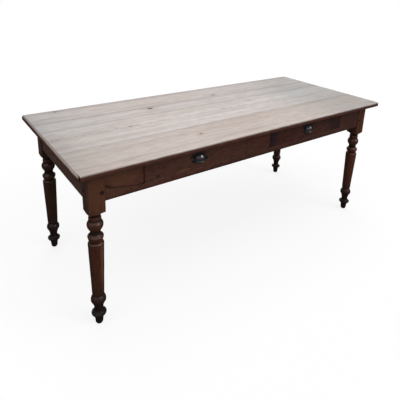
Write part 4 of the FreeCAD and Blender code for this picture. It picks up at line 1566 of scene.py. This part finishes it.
def scrub(points, from_top, side_gap, at_end, seed):
    """Sink the upper face of a plank unevenly, ease its ends and chip its arrises."""
    is_top = closeness(from_top, TOP_FACE - UNDER_TOP)
    waves = rumple(points * WAVES["stretch"], WAVES["size"], seed) * WAVES["depth"]
    waves += rumple(points * RIPPLE["stretch"], RIPPLE["size"], seed + 1) * RIPPLE["depth"]
    points[:, 2] -= is_top * np.clip(SUNK + waves, 0.0, None)
    points[:, 2] -= at_end * (from_top < 1 * MM) * END_ARRIS
    # Points on the border of the round are never chipped, however they are rounded off
    reach = TOP_ROUND - SAME_PLACE
    arris = (side_gap < reach) * (from_top < reach)
    chips = rumple(points * CHIPS["stretch"], CHIPS["size"], seed + 2) - CHIPS["rare"]
    points[:, 2] -= arris * np.clip(chips, 0.0, None) * CHIPS["depth"]


def plank_dirt(points, from_top, joints, end):
    """Grime in the joints of a plank, and the dark seam at its left end."""
    gap = np.min([np.abs(points[:, 1] - joint) for joint in joints], axis=0)
    grime = JOINT_DIRT["share"] * np.exp(-gap / JOINT_DIRT["fade"])
    grime += (from_top > JOINT_DIRT["below"]) * (gap < JOINT_DIRT["wall"])
    by_end = np.abs(np.abs(points[:, 0]) - end) < 2.5 * END_ARRIS
    return grime, by_end * (points[:, 0] < 0.0) * END_DIRT


def round_corners(points, place, inward):
    """Draw in the ends of a free side, as far as the rounded corners of the top go."""
    past = np.clip(np.abs(points[:, 0]) - (cad_high.x - CORNER_ROUND), 0.0, CORNER_ROUND)
    inset = CORNER_ROUND - np.sqrt(CORNER_ROUND ** 2 - past ** 2)
    points[:, 1] += inward * inset * closeness(np.abs(points[:, 1] - place), 3 * CORNER_ROUND)


def open_seam(points, front, end):
    """Draw the left front corner back from its strip; returns how open the seam is there."""
    share = closeness(points[:, 1] - front, OPEN_SEAM["length"])
    share *= closeness(points[:, 0] - end, STATION)
    points[:, 0] += share * OPEN_SEAM["width"]
    return share


print("the open seam is", round(OPEN_SEAM["length"] / MM), "mm long")

# %% [markdown]
# ## Sweep the planks
# Now the section goes along the plank, with a few extra places near both ends for the worn end
# arris. The planks are made from the front to the back: each has a groove at its back, and the
# next one brings the tongue.

# %% Sweep the planks
def plank_tree():
    """Plank: one section all along it; the section runs clockwise, so the faces are flipped."""
    tree, given, result = geometry_tree("swept_plank", {})
    skin = swept(tree, given, "across")
    plank = set_out(tree, skin, carried(tree, "across", "FLOAT_VECTOR"))
    outward = add_node(tree, "GeometryNodeFlipFaces", {"Mesh": plank})
    coated(tree, given, result, outward.outputs[0])
    return tree


def stations(low, high):
    """Places along a plank, close together at both ends."""
    ends = np.arange(4) * END_ARRIS
    inside = np.linspace(low + STATION, high - STATION, round((high - low) / STATION) - 1)
    return np.concatenate([low + ends, inside, high - ends[::-1]])


def swept_plank(node_name, front, front_kind, back, back_kind, seed):
    """One plank along X, with chips on its arrises and soil in its joints."""
    low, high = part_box(node_name)
    finish = plank_finish[node_name]
    spine = {"centre": np.array([(x, 0.0, 0.0) for x in stations(low.x, high.x)])}
    section = plank_section(front, front_kind, back, back_kind)
    ring = {"across": np.array([(0.0, y, z) for y, z in section])}
    mesh = sweep(plank_maker, node_name + "_scrubbed", spine, ring, {"Material": finish})
    drop_values(mesh, "ring", "centre", "across")
    points = points_of(mesh)
    sides = ((front, front_kind, 1.0), (back, back_kind, -1.0))
    joints = [place for place, kind, inward in sides if kind != "free"]
    from_top = TOP_FACE - points[:, 2]
    side_gap = np.minimum(points[:, 1] - front, back - points[:, 1])
    at_end = np.abs(np.abs(points[:, 0]) - high.x) < SAME_PLACE
    scrub(points, from_top, side_gap, at_end, seed)
    grime, seam = plank_dirt(points, from_top, joints, high.x)
    for place, kind, inward in sides:
        if kind == "free":
            round_corners(points, place, inward)
    if front_kind == "free":
        seam = np.maximum(seam, at_end * open_seam(points, front, low.x))
    mesh.vertices.foreach_set("co", points.astype(np.float32).ravel())
    finish_mesh(mesh, finish, grime=grime, seam=seam)
    return place_piece(mesh, node_name + "_scrubbed", [node_name])


plank_maker = plank_tree()
plank_order = sorted(PLANK_LOOK, key=lambda name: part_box(name)[1].y)
plank_front = cad_low.y
front_kind = "free"
for plank_seed, plank_name in enumerate(plank_order):
    plank_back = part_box(plank_name)[1].y
    back_kind = "free" if plank_name == plank_order[-1] else "groove"
    plank = swept_plank(plank_name, plank_front, front_kind, plank_back, back_kind, plank_seed + 31)
    plank_width = round((plank_back - plank_front) / MM)
    print(plank.name, plank_width, "mm wide,", len(plank.data.polygons), "faces")
    plank_front = plank_back
    front_kind = "tongue"

# %% [markdown]
# ## Drawer fronts
# Each drawer front came from another board than the apron, so it takes the stain differently.
# The left one has a knot and a patch rubbed to orange; the right one is darker and redder, and
# almost purple at both ends where the wood was denser. Each pull has a dark patch above it and
# to its left.

# %% Drawer fronts
KNOT_BROWN = (0.013, 0.0085, 0.007, 1.0)
DENSE_PURPLE = (0.0160, 0.0075, 0.0120, 1.0)
DENSE_RED = (0.0200, 0.0060, 0.0075, 1.0)
PULL_HALO_DARK = (0.0075, 0.0055, 0.0055, 1.0)


def front_marks(node_name, spots):
    """Marks on a drawer front, placed by their x and z, with a dark patch above and left of its pull.
    """
    pull_low, pull_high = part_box(node_name.replace("_front", "_pull"))
    middle = (pull_low + pull_high) / 2 / MM
    # halo and ring darken the front above and to the left of the pull.
    halo = (middle.x - 9, middle.z + 8, 52, 27, PULL_HALO_DARK, 0.85)
    ring = (middle.x - 30, middle.z + 6, 21, 11, scaled(PULL_HALO_DARK, 0.4), 0.95)
    marks = []
    for x, z, wide, tall, colour, share in spots + [halo, ring]:
        marks.append(((x, 0, z), (wide, THROUGH, tall), colour, share))
    return marks


LEFT_SPOTS = [(-606, 653, 13, 9, KNOT_BROWN, 0.75), (-476, 645, 44, 9, RUBBED_ORANGE_AND_HIGHLIGHT, 0.55),
              (-191, 685, 12, 7, KNOT_BROWN, 0.5), (-560, 720, 60, 12, RUBBED_ORANGE_AND_HIGHLIGHT, 0.25)]
RIGHT_SPOTS = [(80, 690, 50, 90, DENSE_PURPLE, 0.90), (650, 690, 105, 130, DENSE_RED, 0.72),
               (326, 641, 14, 7, KNOT_BROWN, 0.6)]
left_stain = stained_pine("stained_drawer_left", "X", 4.2, (-0.300, 0.705), (1.02, 1.06, 1.30),
                          marks=front_marks("drawer_left_front", LEFT_SPOTS))
right_stain = stained_pine("stained_drawer_right", "X", 6.4, (-0.290, 0.665), (0.74, 0.62, 0.82),
                           marks=front_marks("drawer_right_front", RIGHT_SPOTS))
print("marks on the drawer fronts:", len(LEFT_SPOTS), "left,", len(RIGHT_SPOTS), "right")

# %% [markdown]
# ## Drawer boxes and inside woodwork
# Behind the fronts all is bare: dovetailed boxes, the runners and guides that they slide on,
# the stops behind them and the buttons that hold the top. Each board is softened in the same
# way, with a smaller arris where the wood is thin, so a table of names is all that it takes.

# %% Drawer boxes and inside woodwork
BOARD_CELL = 18.0 * MM
BOARD_BRUISE = 0.35 * MM
INNER_GAP_SHADE = 0.35
CORNER_DIRT = {"most": 1.3, "least": 0.45, "fade": 18.0 * MM}
BOARD_LOOK = {
    "drawer_left_front": (left_stain, 1.1),
    "drawer_right_front": (right_stain, 1.1),
    "center_bearer": (bare_deep, 1.0),
    "top_buttons": (bare_deep, 0.8),
    "drawer_stops": (bare_long, 0.5),
}
for side in ("left", "right"):
    for end in ("left", "right"):
        BOARD_LOOK[f"drawer_{side}_side_{end}"] = (bare_deep, 0.5)
        BOARD_LOOK[f"runner_{side}_drawer_{end}"] = (bare_deep, 1.0)
        BOARD_LOOK[f"guide_{side}_drawer_{end}"] = (bare_deep, 1.0)
    BOARD_LOOK[f"drawer_{side}_back"] = (bare_long, 0.5)
    BOARD_LOOK[f"drawer_{side}_bottom"] = (bare_long, 0.5)


def end_dirt_and_gap_shade(node_name):
    """Dirt and painted shade: the end face in the open gap at the left end of a drawer front is
    darkened so that the gap reads black, and the front is darker under its corner.
    """
    low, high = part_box(node_name)

    def soil(points):
        from_end = points[:, 0] - low.x
        end = closeness(from_end, WEAR_FADE)
        # Painted shade: the end face inside the gap is darkened, fully at its front and by
        # INNER_GAP_SHADE further in.
        end *= np.where(points[:, 1] < low.y + WEAR_FADE, 1.0, INNER_GAP_SHADE)
        below = closeness(points[:, 2] - low.z, WEAR_FADE)
        corner = CORNER_DIRT["most"] - from_end / CORNER_DIRT["fade"]
        return np.maximum(end, below * np.clip(corner, CORNER_DIRT["least"], 1.0))

    return soil


board_faces = 0
for board_seed, (board_name, (board_finish, board_arris)) in enumerate(BOARD_LOOK.items()):
    board_soil = end_dirt_and_gap_shade(board_name) if board_name.endswith("_front") else None
    board = soft_board(board_name, board_finish, board_arris * MM, BOARD_CELL, board_seed + 51,
                       BOARD_BRUISE, soil=board_soil)
    board_faces += len(board.data.polygons)
print(len(BOARD_LOOK), "boards with", board_faces, "faces")

# %% [markdown]
# ## Cup pulls
# The pulls keep the shape that they have in CAD, welded into one skin. Fingers polished the
# front of the cup and its lip; the black skin stayed on top, inside and round the ears. Two
# bright spots on the dome, the crown and a glint, are painted highlights. Where all of this is
# follows from the place of a point on the pull and from the way it faces.

# %% Bright and black zones
# CROWN_HIGHLIGHT and GLINT are painted highlights: reflections put into the wear values of the dome.
CROWN_HIGHLIGHT = {"share": 0.88, "height": (0.62, 0.10), "place": (1.0 * MM, 5.5 * MM)}
GLINT = {"share": 0.65, "height": (0.54, 0.10), "place": (-20.0 * MM, 5.0 * MM)}
HOLLOW = {"share": 1.0, "height": (0.36, 0.08), "place": (0.0, 15.0 * MM)}
RUBBED = {"from": (0.65, 0.80), "share": (0.30, 0.0)}
LIP = {"from": (0.07, 0.21), "share": (0.44, 0.0)}
EAR = {"from": (37.0 * MM, 41.0 * MM), "share": (0.0, 0.55)}
DOME_OUT = 0.12
LIP_OUT = 0.20


def soft_spot(up, across, share, height, place):
    """Share that fades from a spot; height and place are each a middle and a half width."""
    rise = (up - height[0]) / height[1]
    aside = (across - place[0]) / place[1]
    return share * np.exp(-rise ** 2 - aside ** 2)


def pull_wear(points, facing, low, high):
    """How bright each point is: painted highlights at the crown and a glint, the rubbed front, the lip
    and the ears.
    """
    middle = np.array([(low.x + high.x) / 2, high.y, low.z])
    across = points[:, 0] - middle[0]
    out = (high.y - points[:, 1]) / (high.y - low.y)
    up = (points[:, 2] - low.z) / (high.z - low.z)
    painted_highlights = np.maximum(soft_spot(up, across, **CROWN_HIGHLIGHT), soft_spot(up, across, **GLINT))
    rubbed = np.interp(up, RUBBED["from"], RUBBED["share"])
    rubbed *= 1 - soft_spot(up, across, **HOLLOW)
    dome = np.maximum(painted_highlights, rubbed) * (out > DOME_OUT)
    lip = np.interp(up, LIP["from"], LIP["share"]) * (out > LIP_OUT)
    ear = np.interp(np.abs(across), EAR["from"], EAR["share"])
    inward = (facing * (points - middle)).sum(axis=1) < -1 * MM
    return np.maximum.reduce([dome, lip, ear]) * ~inward


print("polished spots reach shares of", CROWN_HIGHLIGHT["share"], "and", GLINT["share"])

# %% [markdown]
# ## Cast the pulls
# Sand leaves a casting slightly lumpy, and that is what makes its reflections look like metal
# and not like plastic. So every point moves along its normal by up to a tenth of a millimetre.

# %% Pulls
CAST_LUMPS = {"size": 7.0 * MM, "depth": 0.10 * MM}


def worn_pull(node_name, seed):
    """Pull with polished and black zones, and the slight lumps of a casting."""
    bm = bmesh.new()
    bm.from_mesh(nodes[node_name].data)
    bmesh.ops.remove_doubles(bm, verts=bm.verts[:], dist=WELD)
    bm.normal_update()
    facing = np.array([vert.normal for vert in bm.verts])
    mesh = bpy.data.meshes.new(node_name + "_worn")
    bm.to_mesh(mesh)
    bm.free()
    points = points_of(mesh)
    wear = pull_wear(points, facing, *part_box(node_name))
    lumps = rumple(points, CAST_LUMPS["size"], seed) * CAST_LUMPS["depth"]
    points += facing * lumps[:, None]
    mesh.vertices.foreach_set("co", points.astype(np.float32).ravel())
    finish_mesh(mesh, pull_metal, wear=wear)
    return place_piece(mesh, node_name + "_worn", [node_name])


for pull_seed, pull_name in enumerate(["drawer_left_pull", "drawer_right_pull"]):
    pull = worn_pull(pull_name, pull_seed + 71)
    print(pull.name, len(pull.data.polygons), "faces")

# %% [markdown]
# ## Copies on points
# Screws and pegs are made once and placed many times. A mesh of bare points says where each
# one goes, and a vector on every point says which way it looks. The tree builds one of them,
# puts a copy on each point, turns it by chance and joins all copies into one mesh.

# %% Copies on points
SPIN_SEED = 7


def lifted(tree, piece, height):
    """A piece moved up along Z."""
    shift = triple(tree, 0.0, 0.0, height)
    moved = add_node(tree, "GeometryNodeTransform", {"Geometry": piece, "Translation": shift})
    return moved.outputs[0]


def on_points(tree, given, result, piece, spin_range):
    """Copy a piece to every point, looking along the point's axis and spun by chance."""
    look = add_node(tree, "FunctionNodeAlignRotationToVector", axis="Z")
    feed(tree, look.inputs["Vector"], carried(tree, "axis", "FLOAT_VECTOR"))
    chance = add_node(tree, "FunctionNodeRandomValue", data_type="FLOAT")
    low, high = [s for s in chance.inputs if s.enabled and s.name in ("Min", "Max")]
    low.default_value, high.default_value = spin_range
    chance.inputs["Seed"].default_value = SPIN_SEED
    angle = [s for s in chance.outputs if s.enabled][0]
    spin = add_node(tree, "FunctionNodeEulerToRotation", {"Euler": triple(tree, 0.0, 0.0, angle)})
    turned = add_node(tree, "FunctionNodeRotateRotation", rotation_space="LOCAL")
    feed(tree, turned.inputs["Rotation"], look.outputs[0])
    feed(tree, turned.inputs["Rotate By"], spin.outputs[0])
    copies = add_node(tree, "GeometryNodeInstanceOnPoints", {
        "Points": given["Geometry"], "Instance": piece, "Rotation": turned.outputs[0]})
    coated(tree, given, result, copies.outputs[0])


print("copies are spun by chance with seed", SPIN_SEED)

# %% [markdown]
# ## Slotted screws
# A screw head is a squashed ball without its lower half, and its slot is a thin box taken out
# of it. Old screws stop at any angle, so each one is spun by chance with a fixed seed. The big
# ones hold the buttons under the top, and the small ones hold the pulls.

# %% Slotted screws
PULL_SCREW = {"head_height": 2.2 * MM, "slot_width": 1.0 * MM, "slot_depth": 1.2 * MM}
BUTTON_SCREW = {"head_height": 2.8 * MM, "slot_width": 1.1 * MM, "slot_depth": 1.5 * MM}
SHANK_SHARE = 0.45


def screw_tree():
    """Round headed screw with a slot; its head looks along Z and its seat is at the origin."""
    sizes = {"Head Radius": 4.2 * MM, "Head Height": 2.2 * MM, "Slot Width": 0.9 * MM,
             "Slot Depth": 1.2 * MM, "Shank Radius": 1.8 * MM, "Shank Length": 15.0 * MM}
    tree, given, result = geometry_tree("slotted_screw", sizes)
    ball = add_node(tree, "GeometryNodeMeshUVSphere", {"Segments": 32, "Rings": 20, "Radius": 1.0})
    squash = triple(tree, given["Head Radius"], given["Head Radius"], given["Head Height"])
    dome = add_node(tree, "GeometryNodeTransform", {"Geometry": ball.outputs[0], "Scale": squash})
    wide = sums(tree, "MULTIPLY", given["Head Radius"], 3.0)
    below = add_node(tree, "GeometryNodeMeshCube", {"Size": triple(tree, wide, wide, wide)})
    below = lifted(tree, below.outputs[0], sums(tree, "MULTIPLY", wide, -0.5))
    slot_height = sums(tree, "MULTIPLY", given["Slot Depth"], 2.0)
    slot_size = triple(tree, wide, given["Slot Width"], slot_height)
    slot = add_node(tree, "GeometryNodeMeshCube", {"Size": slot_size})
    slot = lifted(tree, slot.outputs[0], given["Head Height"])
    cut = add_node(tree, "GeometryNodeMeshBoolean", operation="DIFFERENCE", solver="EXACT")
    feed(tree, cut.inputs["Mesh 1"], dome.outputs[0])
    feed(tree, cut.inputs["Mesh 2"], below)
    feed(tree, cut.inputs["Mesh 2"], slot)
    shank = add_node(tree, "GeometryNodeMeshCylinder", {
        "Vertices": 20, "Radius": given["Shank Radius"], "Depth": given["Shank Length"]})
    shank = lifted(tree, shank.outputs[0], sums(tree, "MULTIPLY", given["Shank Length"], -0.49))
    whole = add_node(tree, "GeometryNodeJoinGeometry")
    feed(tree, whole.inputs[0], cut.outputs["Mesh"])
    feed(tree, whole.inputs[0], shank)
    on_points(tree, given, result, whole.outputs[0], (0.0, math.pi))
    return tree


def screws(tree, node_name, axis, head_height, slot_width, slot_depth):
    """All screws of one node, their heads looking along the axis."""
    axis = Vector(axis)
    seats = []
    for low, high in loose_parts(node_name):
        size = high - low
        length = abs(size.dot(axis))
        seats.append((low + high) / 2 + axis * (length / 2 - head_height))
        head_radius = (sum(size) - length) / 4
    values = {"Head Radius": head_radius, "Head Height": head_height, "Slot Width": slot_width,
              "Slot Depth": slot_depth, "Shank Radius": head_radius * SHANK_SHARE,
              "Shank Length": length - head_height, "Material": screw_steel}
    mesh = bake(tree, node_name + "_slotted", seats, values, axis=[axis] * len(seats))
    finish_mesh(mesh, screw_steel)
    return place_piece(mesh, node_name + "_slotted", [node_name])


screw = screw_tree()
for screw_node in ("drawer_left_pull_screws", "drawer_right_pull_screws"):
    made = screws(screw, screw_node, (0, -1, 0), **PULL_SCREW)
    print(made.name, len(made.data.polygons), "faces")
made = screws(screw, "button_screws", (0, 0, -1), **BUTTON_SCREW)
print(made.name, len(made.data.polygons), "faces")

# %% [markdown]
# ## Driven pegs
# A peg was split from a billet and shaved by hand: square with soft corners, thinner at its
# inner end, and rounded at its head by the hammer. It is swept as a soft square along a short
# line, and the scale along that line gives the taper. Every peg stands nearly on its corner.

# %% Driven pegs
PEG_SPIN = (math.radians(38.0), math.radians(52.0))
PEG_CORNER_SHARE = 0.25


def peg_tree():
    """Hand cut peg with its head at the origin: a bar with soft corners and a taper."""
    sizes = {"Width": 9.0 * MM, "Length": 30.0 * MM, "Corner": 1.6 * MM}
    tree, given, result = geometry_tree("driven_peg", sizes)
    section = add_node(tree, "GeometryNodeCurvePrimitiveQuadrilateral", {
        "Width": given["Width"], "Height": given["Width"]})
    soft = add_node(tree, "GeometryNodeFilletCurve", {
        "Curve": section.outputs[0], "Radius": given["Corner"], "Count": 4}, mode="POLY")
    inner = triple(tree, 0.0, 0.0, sums(tree, "MULTIPLY", given["Length"], -1.0))
    spine = add_node(tree, "GeometryNodeCurvePrimitiveLine", {"Start": inner, "End": (0.0, 0.0, 0.0)})
    spine = add_node(tree, "GeometryNodeResampleCurve", {"Curve": spine.outputs[0], "Count": 28})
    along = add_node(tree, "GeometryNodeSplineParameter").outputs["Factor"]
    taper = ease(tree, along, 0.0, 0.9, 0.84, 1.0)
    taper = sums(tree, "MULTIPLY", taper, ease(tree, along, 0.95, 1.0, 1.0, 0.86))
    bar = add_node(tree, "GeometryNodeCurveToMesh", {
        "Curve": spine.outputs[0], "Profile Curve": soft.outputs[0], "Scale": taper,
        "Fill Caps": True})
    on_points(tree, given, result, bar.outputs[0], PEG_SPIN)
    return tree


peg_boxes = loose_parts("joint_pegs")
peg_heads = [peg_head(low, high) for low, high in peg_boxes]
peg_axes = [peg_axis(low, high) for low, high in peg_boxes]
peg_low, peg_high = peg_boxes[-1]
peg_length = max(peg_high.x - peg_low.x, peg_high.y - peg_low.y)
peg_width = (peg_high.z - peg_low.z) * PEG_SIDE_SHARE
peg_values = {"Width": peg_width, "Length": peg_length,
              "Corner": peg_width * PEG_CORNER_SHARE, "Material": peg_finish}
peg_mesh = bake(peg_tree(), "joint_pegs_driven", peg_heads, peg_values, axis=peg_axes)
finish_mesh(peg_mesh, peg_finish)
pegs = place_piece(peg_mesh, "joint_pegs_driven", ["joint_pegs"])
print(pegs.name, len(peg_heads), "pegs with", len(peg_mesh.polygons), "faces")
